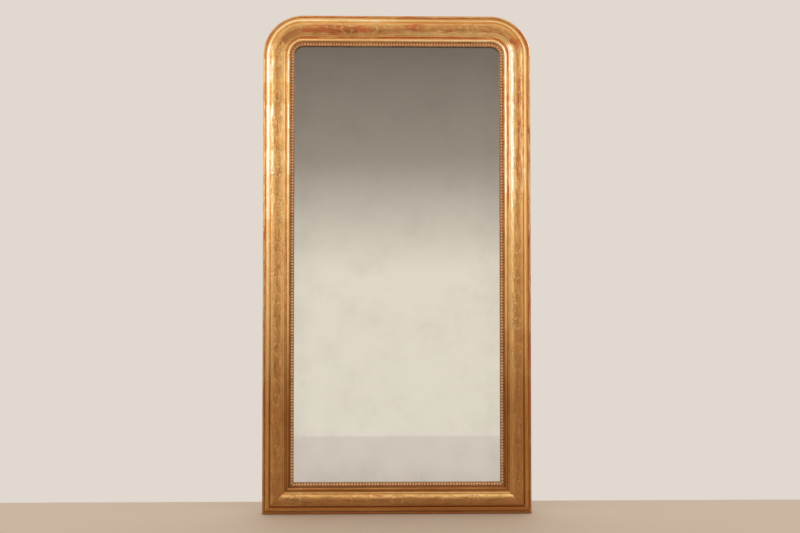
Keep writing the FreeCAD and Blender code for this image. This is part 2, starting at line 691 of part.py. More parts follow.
def plate_packing():
    """Setting blocks under the plate and wedges at its sides and top."""
    rear = f"-{GLASS_FRONT}"
    blocks = []
    for side, word in SIDES:
        middle = f"{side} * ({PLATE_X} - setting_block_inset)"
        blocks.append(add_box(
            f"setting_block_{word}",
            (f"{middle} - setting_block_length / 2", rear, BOARD),
            (f"{middle} + setting_block_length / 2", f"-{BACK_REAR}", PLATE_BOTTOM),
        ))
    make_group("setting_blocks", blocks)
    wedges = []
    for side, word in SIDES:
        near, far = sorted((f"{side} * {PLATE_X}", f"{side} * {INNER_X}"), key=number)
        for end, middle in (("low", f"{PLATE_BOTTOM} + wedge_end_distance"),
                            ("high", f"{PLATE_TOP} - wedge_end_distance")):
            wedges.append(add_box(
                f"wedge_{word}_{end}",
                (near, rear, f"{middle} - wedge_length / 2"),
                (far, f"-{BACK_REAR}", f"{middle} + wedge_length / 2"),
            ))
        middle = f"{side} * ({PLATE_X} - wedge_end_distance)"
        wedges.append(add_box(
            f"wedge_top_{word}",
            (f"{middle} - wedge_length / 2", rear, PLATE_TOP),
            (f"{middle} + wedge_length / 2", f"-{BACK_REAR}", INNER_TOP),
        ))
    make_group("glass_wedges", wedges)


# The rails of the panelled back: name, lower edge and width.
END_RAIL = "back_end_rail_width"
MID_RAIL = "back_mid_rail_width"
LOW_BAY = f"({PLATE_BOTTOM} + {END_RAIL})"
MID_BAY = f"({LOW_BAY} + {BAY} + {MID_RAIL})"
HIGH_BAY = f"({MID_BAY} + {BAY} + {MID_RAIL})"
BACK_RAILS = (
    ("bottom", PLATE_BOTTOM, END_RAIL),
    ("lower", f"({LOW_BAY} + {BAY})", MID_RAIL),
    ("upper", f"({MID_BAY} + {BAY})", MID_RAIL),
    ("top", f"({PLATE_TOP} - {END_RAIL})", END_RAIL),
)
TENON_PEG_X = f"({STILE_EDGE} + tenon_peg_inset)"


def tenon_peg_places(side, low, width):
    """Gives the two pegs of a rail's tenon."""
    middle = f"({low} + {width} / 2)"
    return [(f"{side} * {TENON_PEG_X}", f"{middle} + {step} * tenon_peg_spacing / 2")
            for step in (-1, 1)]


def back_stile(side, word):
    """A stile of the panelled back: groove along its inner edge, four mortises, peg holes."""
    body = make_body(f"back_stile_{word}")
    outer = f"{side} * {PLATE_X}"
    inner = f"{side} * {STILE_EDGE}"
    face = make_sketch(body, "XZ_Plane", f"back_stile_face_{word}", BACK_REAR)
    draw_rectangle(face, (outer, PLATE_BOTTOM), (inner, PLATE_TOP))
    add_pad(body, face, "back_thickness")
    groove_rear = f"({BACK_MIDDLE} - panel_groove_width / 2)"
    groove = make_sketch(body, "XZ_Plane", f"back_stile_groove_{word}", groove_rear)
    draw_rectangle(groove, (inner, PLATE_BOTTOM),
                   (f"{inner} + {side} * panel_groove_depth", PLATE_TOP))
    cut_pocket(body, groove, "panel_groove_width", reverse=True)
    mortises = make_sketch(body, "XZ_Plane", f"back_mortises_{word}", groove_rear)
    for _, low, width in BACK_RAILS:
        draw_rectangle(
            mortises,
            (inner, f"{low} + tenon_shoulder - tenon_fit"),
            (f"{inner} + {side} * (tenon_length + tenon_fit)",
             f"{low} + {width} - tenon_shoulder + tenon_fit"),
        )
    cut_pocket(body, mortises, "panel_groove_width", reverse=True)
    pegs = [place for _, low, width in BACK_RAILS for place in tenon_peg_places(side, low, width)]
    drill(body, f"back_stile_pegs_{word}", pegs, "tenon_peg_diameter + 2 * peg_fit", BACK_REAR,
          "back_thickness", reverse=True)


def back_rail(word, low, width):
    """A rail of the panelled back: haunched tenons, panel grooves and peg holes."""
    body = make_body(f"back_rail_{word}")
    high = f"({low} + {width})"
    face = make_sketch(body, "XZ_Plane", f"back_rail_face_{word}", BACK_REAR)
    draw_rectangle(face, (f"-{STILE_EDGE}", low), (STILE_EDGE, high))
    add_pad(body, face, "back_thickness")
    tongue_rear = f"({BACK_MIDDLE} - {TONGUE_WIDTH} / 2)"
    haunch = make_sketch(body, "XZ_Plane", f"back_haunch_{word}", tongue_rear)
    haunch_reach = f"({STILE_EDGE} + panel_groove_depth - tenon_fit)"
    draw_rectangle(haunch, (f"-{haunch_reach}", low), (haunch_reach, high))
    add_pad(body, haunch, TONGUE_WIDTH)
    tenon = make_sketch(body, "XZ_Plane", f"back_tenon_{word}", tongue_rear)
    tenon_reach = f"({STILE_EDGE} + tenon_length)"
    draw_rectangle(tenon, (f"-{tenon_reach}", f"{low} + tenon_shoulder"),
                   (tenon_reach, f"{high} - tenon_shoulder"))
    add_pad(body, tenon, TONGUE_WIDTH)
    groove_rear = f"({BACK_MIDDLE} - panel_groove_width / 2)"
    edges = []
    if word != "bottom":
        edges.append((low, f"{low} + panel_groove_depth"))
    if word != "top":
        edges.append((f"{high} - panel_groove_depth", high))
    groove = make_sketch(body, "XZ_Plane", f"back_rail_groove_{word}", groove_rear)
    groove_end = f"({STILE_EDGE} + panel_groove_depth)"
    for bottom, top in edges:
        draw_rectangle(groove, (f"-{groove_end}", bottom), (groove_end, top))
    cut_pocket(body, groove, "panel_groove_width", reverse=True)
    pegs = [place for side, _ in SIDES for place in tenon_peg_places(side, low, width)]
    drill(body, f"back_rail_pegs_{word}", pegs, "tenon_peg_diameter + 2 * peg_fit", BACK_REAR,
          "back_thickness", reverse=True)


def back_panel(word, low):
    """A fielded panel, its tongue loose in the grooves and its field raised towards the wall."""
    body = make_body(f"back_panel_{word}")
    tongue_rear = f"({BACK_MIDDLE} - {TONGUE_WIDTH} / 2)"
    board = make_sketch(body, "XZ_Plane", f"panel_board_{word}", tongue_rear)
    reach = f"({STILE_EDGE} + {TONGUE_REACH})"
    draw_rectangle(board, (f"-{reach}", f"{low} - {TONGUE_REACH}"),
                   (reach, f"{low} + {BAY} + {TONGUE_REACH}"))
    add_pad(body, board, TONGUE_WIDTH)
    field = make_sketch(body, "XZ_Plane", f"panel_field_{word}", tongue_rear)
    edge = f"({STILE_EDGE} - panel_field_inset)"
    draw_rectangle(field, (f"-{edge}", f"{low} + panel_field_inset"),
                   (edge, f"{low} + {BAY} - panel_field_inset"))
    pad = add_pad(body, field, "panel_field_rise")
    pad.Reversed = True
    bind(pad, {"TaperAngle": "-panel_bevel_angle"})


def back_tenon_pegs():
    """The pegs that lock the tenons, flush with both faces of the panelled back."""
    pegs = []
    for side, word in SIDES:
        for rail, low, width in BACK_RAILS:
            for index, (x, z) in enumerate(tenon_peg_places(side, low, width)):
                pegs.append(add_peg(f"tenon_peg_{word}_{rail}_{index}", (x, f"-{BACK_REAR}", z),
                                    FRONT, "tenon_peg_diameter", "back_thickness"))
    make_group("tenon_pegs", pegs)


def base_lap_pegs():
    """The pegs through the half-laps, flush with both faces of the base frame."""
    pegs = []
    for side, word in SIDES:
        places = lap_peg_places(side, INNER_TOP, 1) + lap_peg_places(side, BOARD, -1)
        for index, (x, z) in enumerate(places):
            pegs.append(add_peg(f"lap_peg_{word}_{index}", (x, "0", z), FRONT,
                                "lap_peg_diameter", "board_depth"))
    make_group("lap_pegs", pegs)


def moulding_screws():
    """The screws that hold the mouldings, from the back through the base frame."""
    places = []
    for side, _ in SIDES:
        places += stile_screw_places(side) + [corner_screw_place(side)]
    places += rail_screw_places(BOTTOM_MIDDLE) + rail_screw_places(TOP_MIDDLE)
    screws = [
        add_screw(f"moulding_screw_{index}", (x, "-screw_sink", z), FRONT,
                  "moulding_screw_length", "screw_head_diameter", "screw_shank_diameter")
        for index, (x, z) in enumerate(places)
    ]
    make_group("moulding_screws", screws)


CLEAT_MIDDLE = f"(({BACK_REAR} + cleat_setback) / 2)"


def stile_cleat_heights():
    """Gives the heights of the three cleats on each stile."""
    low = f"({BOARD} + cleat_end_distance)"
    high = f"({INNER_TOP} - cleat_end_distance)"
    return [low, f"(({low} + {high}) / 2)", high]


def rail_cleat_places():
    """Gives the places across of the two cleats on each rail."""
    return [f"{side} * ({INNER_X} - cleat_end_distance)" for side, _ in SIDES]


CLEAT_HOLE = "small_shank_diameter + 2 * screw_fit"
CLEAT_HOLE_DEPTH = "(cleat_screw_length - cleat_width + screw_room)"


def drill_cleat_holes(body, name, side):
    """Drills a stile's inner edge for its cleat screws."""
    sketch = make_sketch(body, "YZ_Plane", name, f"{side} * {INNER_X}")
    for height in stile_cleat_heights():
        draw_circle(sketch, (f"-{CLEAT_MIDDLE}", height), CLEAT_HOLE)
    cut_pocket(body, sketch, CLEAT_HOLE_DEPTH, reverse=side == RIGHT)


def drill_rail_cleat_holes(body, name, out):
    """Drills a rail's inner edge for its cleat screws."""
    sketch = make_sketch(body, "XY_Plane", name, INNER_TOP if out > 0 else BOARD)
    for x in rail_cleat_places():
        draw_circle(sketch, (x, f"-{CLEAT_MIDDLE}"), CLEAT_HOLE)
    cut_pocket(body, sketch, CLEAT_HOLE_DEPTH, reverse=out > 0)


def cleat_seats():
    """Gives each cleat's seat on the base frame's inner edge and the way into the wood."""
    seats = []
    for side, _ in SIDES:
        for height in stile_cleat_heights():
            seats.append(((f"{side} * {INNER_X}", height), FreeCAD.Vector(side, 0, 0)))
    for x in rail_cleat_places():
        seats.append(((x, INNER_TOP), FreeCAD.Vector(0, 0, 1)))
        seats.append(((x, BOARD), FreeCAD.Vector(0, 0, -1)))
    return seats


def retaining_cleats():
    """Wooden cleats behind the panelled back, each with one screw into the base frame's edge."""
    cleats = []
    screws = []
    for index, ((x, z), into) in enumerate(cleat_seats()):
        seat = (x, f"-{CLEAT_MIDDLE}", z)
        face = along(seat, -into, "cleat_width")
        half = "(cleat_length / 2)"
        ends = [tuple(f"{place} {sign} {abs(into[turn])} * {half}"
                      for place, turn in ((corner[0], 2), (corner[2], 0)))
                for corner, sign in ((seat, "-"), (face, "+"))]
        (low_x, high_x), (low_z, high_z) = (
            sorted((ends[0][axis], ends[1][axis]), key=number) for axis in (0, 1)
        )
        block = add_box(f"cleat_block_{index}", (low_x, f"-{BACK_REAR}", low_z),
                        (high_x, "-cleat_setback", high_z))
        bore = add_peg(f"cleat_bore_{index}", face, into, CLEAT_HOLE, "cleat_width")
        head_radius = "(small_head_diameter / 2 + screw_fit + screw_sink)"
        shank_radius = "(small_shank_diameter / 2 + screw_fit)"
        sink = add_primitive("Part::Cone", f"cleat_sink_{index}", {
            "Radius1": head_radius,
            "Radius2": shank_radius,
            "Height": f"{head_radius} - {shank_radius}",
        }, face, into)
        tool = doc.addObject("Part::MultiFuse", f"cleat_drill_{index}")
        tool.Shapes = [bore, sink]
        cleat = doc.addObject("Part::Cut", f"cleat_{index}")
        cleat.Base = block
        cleat.Tool = tool
        cleats.append(cleat)
        screws.append(add_screw(f"cleat_screw_{index}", along(face, into, "screw_sink"), into,
                                "cleat_screw_length", "small_head_diameter",
                                "small_shank_diameter"))
    make_group("retaining_cleats", cleats)
    make_group("cleat_screws", screws)


def hanger_place(side):
    return {"x": f"{side} * {HANGER_X}", "y": f"-{AXIS_DEPTH}", "z": HANGER_Z}


def hanger_plate(side, word):
    """An iron strap with a rolled eye, its origin on the ring's axis."""
    body = make_body(f"hanger_plate_{word}", hanger_place(side))
    half = "(strap_width / 2)"
    face = make_sketch(body, "XZ_Plane", f"strap_face_{word}", EYE_BORE)
    draw_outline(face, (
        (half, "0"), (f"-{half}", "0"), (f"-{half}", f"{half} - strap_length"),
        ("0", "-strap_length"), (half, f"{half} - strap_length"),
    ), {2: (half, -1), 3: (half, -1)})
    add_pad(body, face, "strap_thickness")
    eye = make_sketch(body, "YZ_Plane", f"strap_eye_{word}")
    draw_circle(eye, ("0", "0"), f"2 * {EYE_RADIUS}")
    draw_circle(eye, ("0", "0"), f"2 * {EYE_BORE}")
    add_pad(body, eye, "strap_width", symmetric=True)
    places = [("0", f"-{drop}") for drop in ("strap_screw_near", "strap_screw_far")]
    drill_countersunk(body, f"strap_screws_{word}", places, EYE_BORE, "hanger_screw_length",
                      "small_shank_diameter", "small_head_diameter")


def hanger_ring(side, word):
    """A D-shaped ring of round wire, hanging down from its bar, its origin on the bar's axis."""
    body = make_body(f"hanger_ring_{word}", hanger_place(side))
    half = "(ring_width / 2)"
    bar = f"({half} - ring_bend)"
    path = make_sketch(body, "XZ_Plane", f"ring_path_{word}")
    draw_outline(path, (
        ("0", "0"), (bar, "0"), (half, "-ring_bend"), (half, f"{half} - ring_drop"),
        ("0", "-ring_drop"), (f"-{half}", f"{half} - ring_drop"), (f"-{half}", "-ring_bend"),
        (f"-{bar}", "0"),
    ), {1: ("ring_bend", 1), 3: (half, 1), 4: (half, 1), 6: ("ring_bend", 1)})
    wire = make_sketch(body, "YZ_Plane", f"ring_wire_{word}")
    draw_circle(wire, ("0", "0"), "ring_wire")
    doc.recompute()
    sweep = body.newObject("PartDesign::AdditivePipe", f"ring_sweep_{word}")
    sweep.Profile = wire
    sweep.Spine = (path, [f"Edge{edge}" for edge in range(1, path.GeometryCount + 1)])


def hanger_screws():
    """The screws of the hanger straps, flush in the straps."""
    screws = []
    for side, word in SIDES:
        for drop in ("strap_screw_near", "strap_screw_far"):
            head = (f"{side} * {HANGER_X}",
                    "-(hanger_pocket_depth - strap_thickness + screw_sink)",
                    f"{HANGER_Z} - {drop}")
            screws.append(add_screw(f"hanger_screw_{word}_{drop}", head, FRONT,
                                    "hanger_screw_length", "small_head_diameter",
                                    "small_shank_diameter"))
    make_group("hanger_screws", screws)


def export_nodes():
    """Checks every object and every sub-part's shape, then writes the sub-parts."""
    doc.recompute()
    faults = [part.Name for part in doc.Objects
              if {"Invalid", "Error"} & set(part.State)]
    faults += [part.Label for part in nodes if part.Shape.isNull() or not part.Shape.isValid()]
    if faults:
        raise RuntimeError(f"not built: {faults}")
    os.makedirs("parts", exist_ok=True)
    for part in nodes:
        part.Shape.exportStep(f"parts/{part.Label}.step")


for side, word in SIDES:
    base_stile(side, word)
base_rail("top", INNER_TOP, "overall_height", 1)
base_rail("bottom", BOARD, "0", -1)
base_lap_pegs()
for run in RUNS:
    moulding_run(*run)
    bead_strip_run(*run)
for side, word in SIDES:
    moulding_corner(side, word)
    bead_strip_corner(side, word)
moulding_screws()
mirror_glass()
plate_packing()
for side, word in SIDES:
    back_stile(side, word)
for rail in BACK_RAILS:
    back_rail(*rail)
for word, low in (("lower", LOW_BAY), ("middle", MID_BAY), ("upper", HIGH_BAY)):
    back_panel(word, low)
back_tenon_pegs()
retaining_cleats()
for side, word in SIDES:
    hanger_plate(side, word)
    hanger_ring(side, word)
hanger_screws()
export_nodes()
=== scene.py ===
import math
from functools import partial, reduce
from itertools import accumulate
from typing import NamedTuple

import bmesh
import bpy
import numpy as np
from bpy.props import FloatProperty, FloatVectorProperty, IntProperty, PointerProperty
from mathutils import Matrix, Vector


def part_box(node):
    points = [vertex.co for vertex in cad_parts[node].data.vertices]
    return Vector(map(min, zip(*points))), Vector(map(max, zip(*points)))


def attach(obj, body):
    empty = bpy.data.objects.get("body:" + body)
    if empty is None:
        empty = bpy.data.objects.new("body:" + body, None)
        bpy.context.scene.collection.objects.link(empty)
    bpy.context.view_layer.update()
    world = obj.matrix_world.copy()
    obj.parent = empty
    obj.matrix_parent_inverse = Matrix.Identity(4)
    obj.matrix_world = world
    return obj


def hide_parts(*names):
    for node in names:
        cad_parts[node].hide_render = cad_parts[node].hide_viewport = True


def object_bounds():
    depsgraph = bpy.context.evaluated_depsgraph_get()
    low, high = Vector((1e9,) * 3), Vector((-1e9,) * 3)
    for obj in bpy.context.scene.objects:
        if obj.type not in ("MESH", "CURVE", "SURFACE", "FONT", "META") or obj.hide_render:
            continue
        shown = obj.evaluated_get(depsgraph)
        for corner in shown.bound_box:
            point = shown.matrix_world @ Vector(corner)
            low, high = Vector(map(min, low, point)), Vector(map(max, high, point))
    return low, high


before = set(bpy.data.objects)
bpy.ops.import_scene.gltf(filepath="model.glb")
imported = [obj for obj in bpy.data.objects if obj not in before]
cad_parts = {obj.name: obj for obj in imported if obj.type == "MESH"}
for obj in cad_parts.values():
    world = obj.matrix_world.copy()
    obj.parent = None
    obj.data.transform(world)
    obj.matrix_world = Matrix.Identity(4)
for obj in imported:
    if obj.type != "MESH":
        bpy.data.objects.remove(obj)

bl_info = {
    "name": "Overmantel mirror",
    "version": (1, 0, 0),
    "blender": (4, 5, 0),
    "location": "3D View > Sidebar > Mirror",
    "description": "Gilded moulding, pearl course, finishes and studio of a tall overmantel mirror",
    "category": "Object",
}

# Places read from the frame: front is -Y, the back plane is y = 0, lengths are metres.
CAD_BOX = [list(corner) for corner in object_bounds()]
BODY = "mirror"
RIGHT = Vector((1.0, 0.0, 0.0))
UP = Vector((0.0, 0.0, 1.0))
FRONT = Vector((0.0, -1.0, 0.0))
WIDTH = CAD_BOX[1][0] - CAD_BOX[0][0]
HALF = WIDTH / 2
HEIGHT = CAD_BOX[1][2]
SEAT = -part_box("base_stile_left")[0].y
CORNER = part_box("moulding_corner_left")[1].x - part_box("moulding_corner_left")[0].x
ROUND_X = HALF - CORNER
ROUND_Z = HEIGHT - CORNER


# Kinds of properties.
def length(name, text, size):
    return FloatProperty(name=name, description=text, default=size, unit="LENGTH", precision=4)


def tilt(name, text, degrees):
    return FloatProperty(name=name, description=text, default=math.radians(degrees), subtype="ANGLE")


def power(name, text, watts):
    return FloatProperty(name=name, description=text, default=watts, unit="POWER")


def share(name, text, value):
    return FloatProperty(name=name, description=text, default=value, min=0.0, max=1.0, subtype="FACTOR")


def tint(name, text, colour):
    return FloatVectorProperty(
        name=name, description=text, default=colour, size=3, subtype="COLOR", min=0.0, max=1.0
    )


class SectionSizes(bpy.types.PropertyGroup):
    """Section of the gilded moulding, from its outer edge inwards and above its seat."""

    rim_width: length("Rim width", "Width of the outer rim", 0.007)
    rim_height: length("Rim height", "Height of the rim", 0.011)
    rim_round: length("Rim round", "Radius of the rim's outer shoulder", 0.004)
    rim_quirk_width: length("Rim quirk width", "Width of the quirk beside the rim", 0.0025)
    rim_quirk_depth: length("Rim quirk depth", "Depth of the quirk below the rim", 0.003)
    torus_width: length("Torus width", "Width of the outer torus", 0.0165)
    torus_height: length("Torus height", "Crest of the torus", 0.019)
    torus_inner: length("Torus inner height", "Inner edge of the torus", 0.0135)
    cove_width: length("Cove width", "Width of the cove beside the torus", 0.0025)
    cove_height: length("Cove height", "Upper edge of the cove", 0.017)
    cove_radius: length("Cove radius", "Radius of the cove", 0.006)
    frieze_width: length("Frieze width", "Width of the cushion frieze", 0.0415)
    frieze_outer: length("Frieze outer height", "Outer edge of the frieze", 0.020)
    frieze_inner: length("Frieze inner height", "Inner edge of the frieze", 0.0208)
    frieze_radius: length("Frieze radius", "Radius of the frieze's cushion", 0.036)
    astragal_width: length("Astragal width", "Width of the astragal inside the frieze", 0.0062)
    astragal_inner: length("Astragal inner height", "Inner edge of the astragal", 0.0194)
    astragal_radius: length("Astragal radius", "Radius of the astragal", 0.0034)
    groove_width: length("Groove width", "Width of the groove inside the astragal", 0.0048)
    groove_height: length("Groove height", "Outer edge of the groove", 0.0175)
    groove_radius: length("Groove radius", "Radius of the groove's hollow", 0.008)
    bead_width: length("Bead width", "Width of the plain inner bead", 0.010)
    bead_height: length("Bead height", "Crest of the inner bead", 0.0225)
    bead_quirk: length("Bead quirk width", "Quirk between inner bead and pearls", 0.003)
    lip_width: length("Lip width", "Width of the lip that carries the pearls", 0.011)
    lip_depth: length("Lip depth", "Depth of the lip in front of the glass", 0.0045)
    lip_seat: length("Pearl strip depth", "Depth of the pearl strip's wood", 0.005)
    arris: length("Arris", "Softening of the gesso's edges", 0.0006)


class VineSizes(bpy.types.PropertyGroup):
    """The trailing vine incised in the frieze's gesso."""

    half_wave: length("Half wave", "Length of one swing of the stem", 0.086)
    swing: length("Swing", "Swing of the stem to each side", 0.0075)
    line: length("Line", "Width of the incised lines", 0.0015)
    soft: length("Soft edge", "Softness of the incised lines", 0.0007)
    depth: length("Depth", "Depth of the incised lines", 0.0006)
    leaf_length: length("Leaf length", "Length of a leaf", 0.027)
    leaf_width: length("Leaf width", "Half width of a leaf", 0.0052)
    flower_radius: length("Flower radius", "Radius of a flower", 0.0078)
    flower_offset: length("Flower offset", "Flowers from the frieze's middle line", 0.0075)
    bare_mitre: length("Bare mitre", "Plain stretch beside a mitre", 0.016)
    bare_edge: length("Bare edge", "Plain edge on each side of the frieze", 0.002)


class PearlSizes(bpy.types.PropertyGroup):
    """The pearls of the sight edge."""

    radius: length("Radius", "Radius of one pearl", 0.0047)
    gap: length("Gap", "Gap between neighbouring pearls", 0.0005)
    margin: length("Margin", "Strip left on each side of the pearls", 0.0008)
    strip_gap: length("Strip gap", "Glue gap beside the strip", 0.0002)
    foot: length("Foot", "Depth of a pearl's flared foot in its strip", 0.0004)
    segments: IntProperty(name="Segments", description="Sides of one pearl", default=12, min=6)
    rings: IntProperty(name="Rings", description="Rings of a whole pearl", default=8, min=4)
    strip_steps: IntProperty(name="Strip steps", description="Facets of a corner's strip", default=24, min=6)


class BoardSizes(bpy.types.PropertyGroup):
    """Eased boards and slotted screws of the back."""

    ease: length("Ease", "Easing of the boards' edges", 0.0008)
    screw_edge: length("Screw edge", "Thickness of a screw head's rim", 0.0003)
    screw_sides: IntProperty(name="Screw sides", description="Sides of one screw", default=24, min=8)
    slot_width: share("Slot width", "Slot as a share of the head's radius", 0.26)
    slot_depth: share("Slot depth", "Slot as a share of the head's radius", 0.30)


class Finishes(bpy.types.PropertyGroup):
    """Colours of the finishes."""

    # On the burnished crests this pale leaf is partly real burnish and partly a painted highlight that
    # whitens them.
    pale_gold: tint("Pale gold", "Leaf burnished bright on the crests", (0.97, 0.80, 0.55))
    # Painted highlight: paler leaf on the stiles' upper crests, which makes their highlights whiter.
    painted_highlight_gold: tint("White gold", "Thin leaf on the stiles' upper crests", (1.0, 0.93, 0.80))
    bright_gold: tint("Bright gold", "Well burnished leaf", (0.90, 0.60, 0.27))
    gold: tint("Gold", "Burnished leaf", (0.80, 0.47, 0.175))
    dull_gold: tint("Dull gold", "Matt and toned leaf", (0.58, 0.275, 0.088))
    vine_gold: tint("Vine gold", "Burnished leaves and petals of the vine", (0.90, 0.585, 0.215))
    vine_line: tint("Vine line", "Dirt in the vine's incised lines", (0.19, 0.080, 0.024))
    bole: tint("Bole", "Red clay under the leaf", (0.52, 0.112, 0.036))
    pearl_bole: tint("Pearl bole", "Pale clay under the pearls' leaf", (0.71, 0.375, 0.22))
    # Brown toning is dirt in the hollows; the same colour also paints shade on the lower leaf and the head's
    # inner frieze, and the shadow at the sight edge under the head.
    toning_and_painted_shade: tint("Toning", "Brown toning in the hollows", (0.075, 0.030, 0.009))
    pearl_toning: tint("Pearl toning", "Brown toning between the pearls", (0.24, 0.10, 0.038))
    # Painted shade: the leaf is darkened with an amber tint towards the foot, and once more on the bead.
    painted_lower_shade: tint("Glaze", "Amber glaze on the lower part", (0.62, 0.47, 0.34))
    painted_bead_shade: tint("Bead glaze", "Second glaze on the lower bead", (0.70, 0.62, 0.56))
    # The sight edge is this brown below the head; under the head it is painted dark toning as its shadow.
    sight: tint("Sight", "Bare sight edge below the head", (0.34, 0.19, 0.085))
    ochre: tint("Ochre", "Ochre wash on the frame's sides", (0.44, 0.25, 0.075))
    wash_shade: tint("Wash shade", "Darker patches of the ochre wash", (0.30, 0.155, 0.045))
    pine: tint("Pine", "Aged pine", (0.36, 0.205, 0.092))
    late_wood: tint("Late wood", "Dark lines of the pine's grain", (0.17, 0.080, 0.030))
    knot: tint("Knot", "Knots, pores and specks of dirt", (0.085, 0.035, 0.014))
    oak: tint("Oak", "Oak pegs", (0.24, 0.125, 0.052))
    dust: tint("Dust", "Grey dust on the back", (0.33, 0.28, 0.22))
    silver: tint("Silver", "Silvering behind the glass", (0.90, 0.89, 0.86))
    foxing: tint("Foxing", "Tarnish spots of the silvering", (0.16, 0.125, 0.09))
    steel: tint("Steel", "Screws", (0.33, 0.31, 0.29))
    iron: tint("Iron", "Hangers", (0.10, 0.092, 0.085))
    scale: tint("Scale", "Dark forge scale on the hangers", (0.045, 0.042, 0.042))
    rust: tint("Rust", "Rust on screws and hangers", (0.22, 0.075, 0.025))


class StudioSizes(bpy.types.PropertyGroup):
    """Camera, floor and lights."""

    distance: length("Camera distance", "Camera from the frame's rim", 3.5035)
    aside: length("Camera aside", "Camera right of the middle line", -0.0604)
    camera_height: length("Camera height", "Camera above the floor", 0.7504)
    pitch: tilt("Pitch", "Upward tilt of the camera", 1.459)
    turn: tilt("Turn", "Turn of the camera to the right", 1.15)
    lens: FloatProperty(name="Lens", description="Focal length in millimetres", default=46.09)
    floor_front: length("Floor in front", "Floor that the plate shows", 1.9)
    floor_behind: length("Floor behind", "Floor between mirror and backdrop", 0.17)
    floor: tint("Floor", "Colour of the floor", (0.56, 0.44, 0.34))
    floor_shown: tint("Shown floor", "Colour of the floor that the plate shows", (0.70, 0.65, 0.605))
    backdrop: tint("Backdrop", "Colour of the backdrop", (0.752, 0.687, 0.624))
    lamp: tint("Lamp colour", "Colour of the soft boxes' light", (1.0, 0.965, 0.91))
    left: power("Left", "Left soft box", 6.0)
    right: power("Right", "Right soft box", 5.0)
    near_left: power("Near left", "Soft box left of the camera's line", 5.4)
    near_right: power("Near right", "Soft box right of the camera's line", 2.9)
    overhead: power("Overhead", "Top soft box", 4.0)
    front: power("Front", "Soft box above the camera", 5.0)
    behind: power("Behind", "Soft box behind the mirror", 26.0)


def sizes(group):
    return getattr(bpy.context.scene, group)


# Straight lengths and round corners of the moulding, clockwise from the left foot.
class Run(NamedTuple):
    name: str
    start: Vector
    across: Vector
    along: Vector
    length: float
    mitres: tuple


class Bend(NamedTuple):
    name: str
    start: Vector
    across: Vector
    centre: Vector


RUNS = (
    Run("left", Vector((-HALF, 0, 0)), RIGHT, UP, ROUND_Z, (True, False)),
    Run("top", Vector((-ROUND_X, 0, HEIGHT)), -UP, RIGHT, 2 * ROUND_X, (False, False)),
    Run("right", Vector((HALF, 0, ROUND_Z)), -RIGHT, -UP, ROUND_Z, (False, True)),
    Run("bottom", Vector((HALF, 0, 0)), UP, -RIGHT, WIDTH, (True, True)),
)
BENDS = (
    Bend("corner_left", Vector((-HALF, 0, ROUND_Z)), RIGHT, Vector((-ROUND_X, 0, ROUND_Z))),
    Bend("corner_right", Vector((ROUND_X, 0, HEIGHT)), -UP, Vector((ROUND_X, 0, ROUND_Z))),
)


class Edges(NamedTuple):
    """Places of the moulding's parts across its face, from the outer edge inwards."""

    rim_quirk: float
    torus: float
    cove: float
    frieze: float
    astragal: float
    groove: float
    bead: float
    bead_quirk: float
    pearls: float
    face: float

    @property
    def torus_crest(self):
        return (self.torus + self.cove) / 2

    @property
    def frieze_middle(self):
        return (self.frieze + self.astragal) / 2

    @property
    def astragal_crest(self):
        return (self.astragal + self.groove) / 2

    @property
    def bead_crest(self):
        return (self.bead + self.bead_quirk) / 2


def edges():
    part = sizes("mirror_section")
    widths = (part.rim_width, part.rim_quirk_width, part.torus_width, part.cove_width,
              part.frieze_width, part.astragal_width, part.groove_width, part.bead_width,
              part.bead_quirk, part.lip_width)
    return Edges(*accumulate(widths))


# Modelling helpers. Points closer than MERGE become one, and points closer than TOUCH lie in a plane.
MERGE = 5e-6
TOUCH = 1e-5


def clear_selection():
    if bpy.context.mode != "OBJECT":
        bpy.ops.object.mode_set(mode="OBJECT")
    bpy.ops.object.select_all(action="DESELECT")


def select_only(*pieces):
    """Selects the pieces alone and makes the first one active."""
    clear_selection()
    for piece in pieces:
        piece.select_set(True)
    bpy.context.view_layer.objects.active = pieces[0]


def start_point(name, place):
    """Starts a piece as a single selected point, in edit mode, with its object at the origin."""
    clear_selection()
    bpy.ops.mesh.primitive_plane_add(size=0.01, enter_editmode=True)
    bpy.context.object.name = name
    bpy.ops.mesh.select_mode(type="VERT")
    bpy.ops.mesh.select_all(action="SELECT")
    bpy.ops.mesh.merge(type="CENTER")
    bpy.ops.transform.translate(value=place)
    return bpy.context.object


def pick(kind, test):
    """Selects only the vertices, edges or faces of the edited mesh that pass the test."""
    bpy.ops.mesh.select_mode(type={"verts": "VERT", "edges": "EDGE", "faces": "FACE"}[kind])
    bpy.ops.mesh.select_all(action="DESELECT")
    mesh = bpy.context.object.data
    shape = bmesh.from_edit_mesh(mesh)
    for item in getattr(shape, kind):
        item.select_set(bool(test(item)))
    shape.select_flush_mode()
    bmesh.update_edit_mesh(mesh)


def fill_outline():
    """Closes the drawn outline and fills it."""
    bpy.ops.mesh.select_all(action="SELECT")
    bpy.ops.mesh.remove_doubles(threshold=MERGE)
    bpy.ops.mesh.edge_face_add()


def close_mesh():
    """Merges doubles and points all faces outwards."""
    bpy.ops.mesh.select_mode(type="VERT")
    bpy.ops.mesh.select_all(action="SELECT")
    bpy.ops.mesh.remove_doubles(threshold=MERGE)
    bpy.ops.mesh.normals_make_consistent(inside=False)


def apply_modifier(piece, kind, **settings):
    """Gives the active piece a modifier with these settings and applies it."""
    bpy.ops.object.modifier_add(type=kind)
    modifier = piece.modifiers[-1]
    for name, value in settings.items():
        setattr(modifier, name, value)
    bpy.ops.object.modifier_apply(modifier=modifier.name)


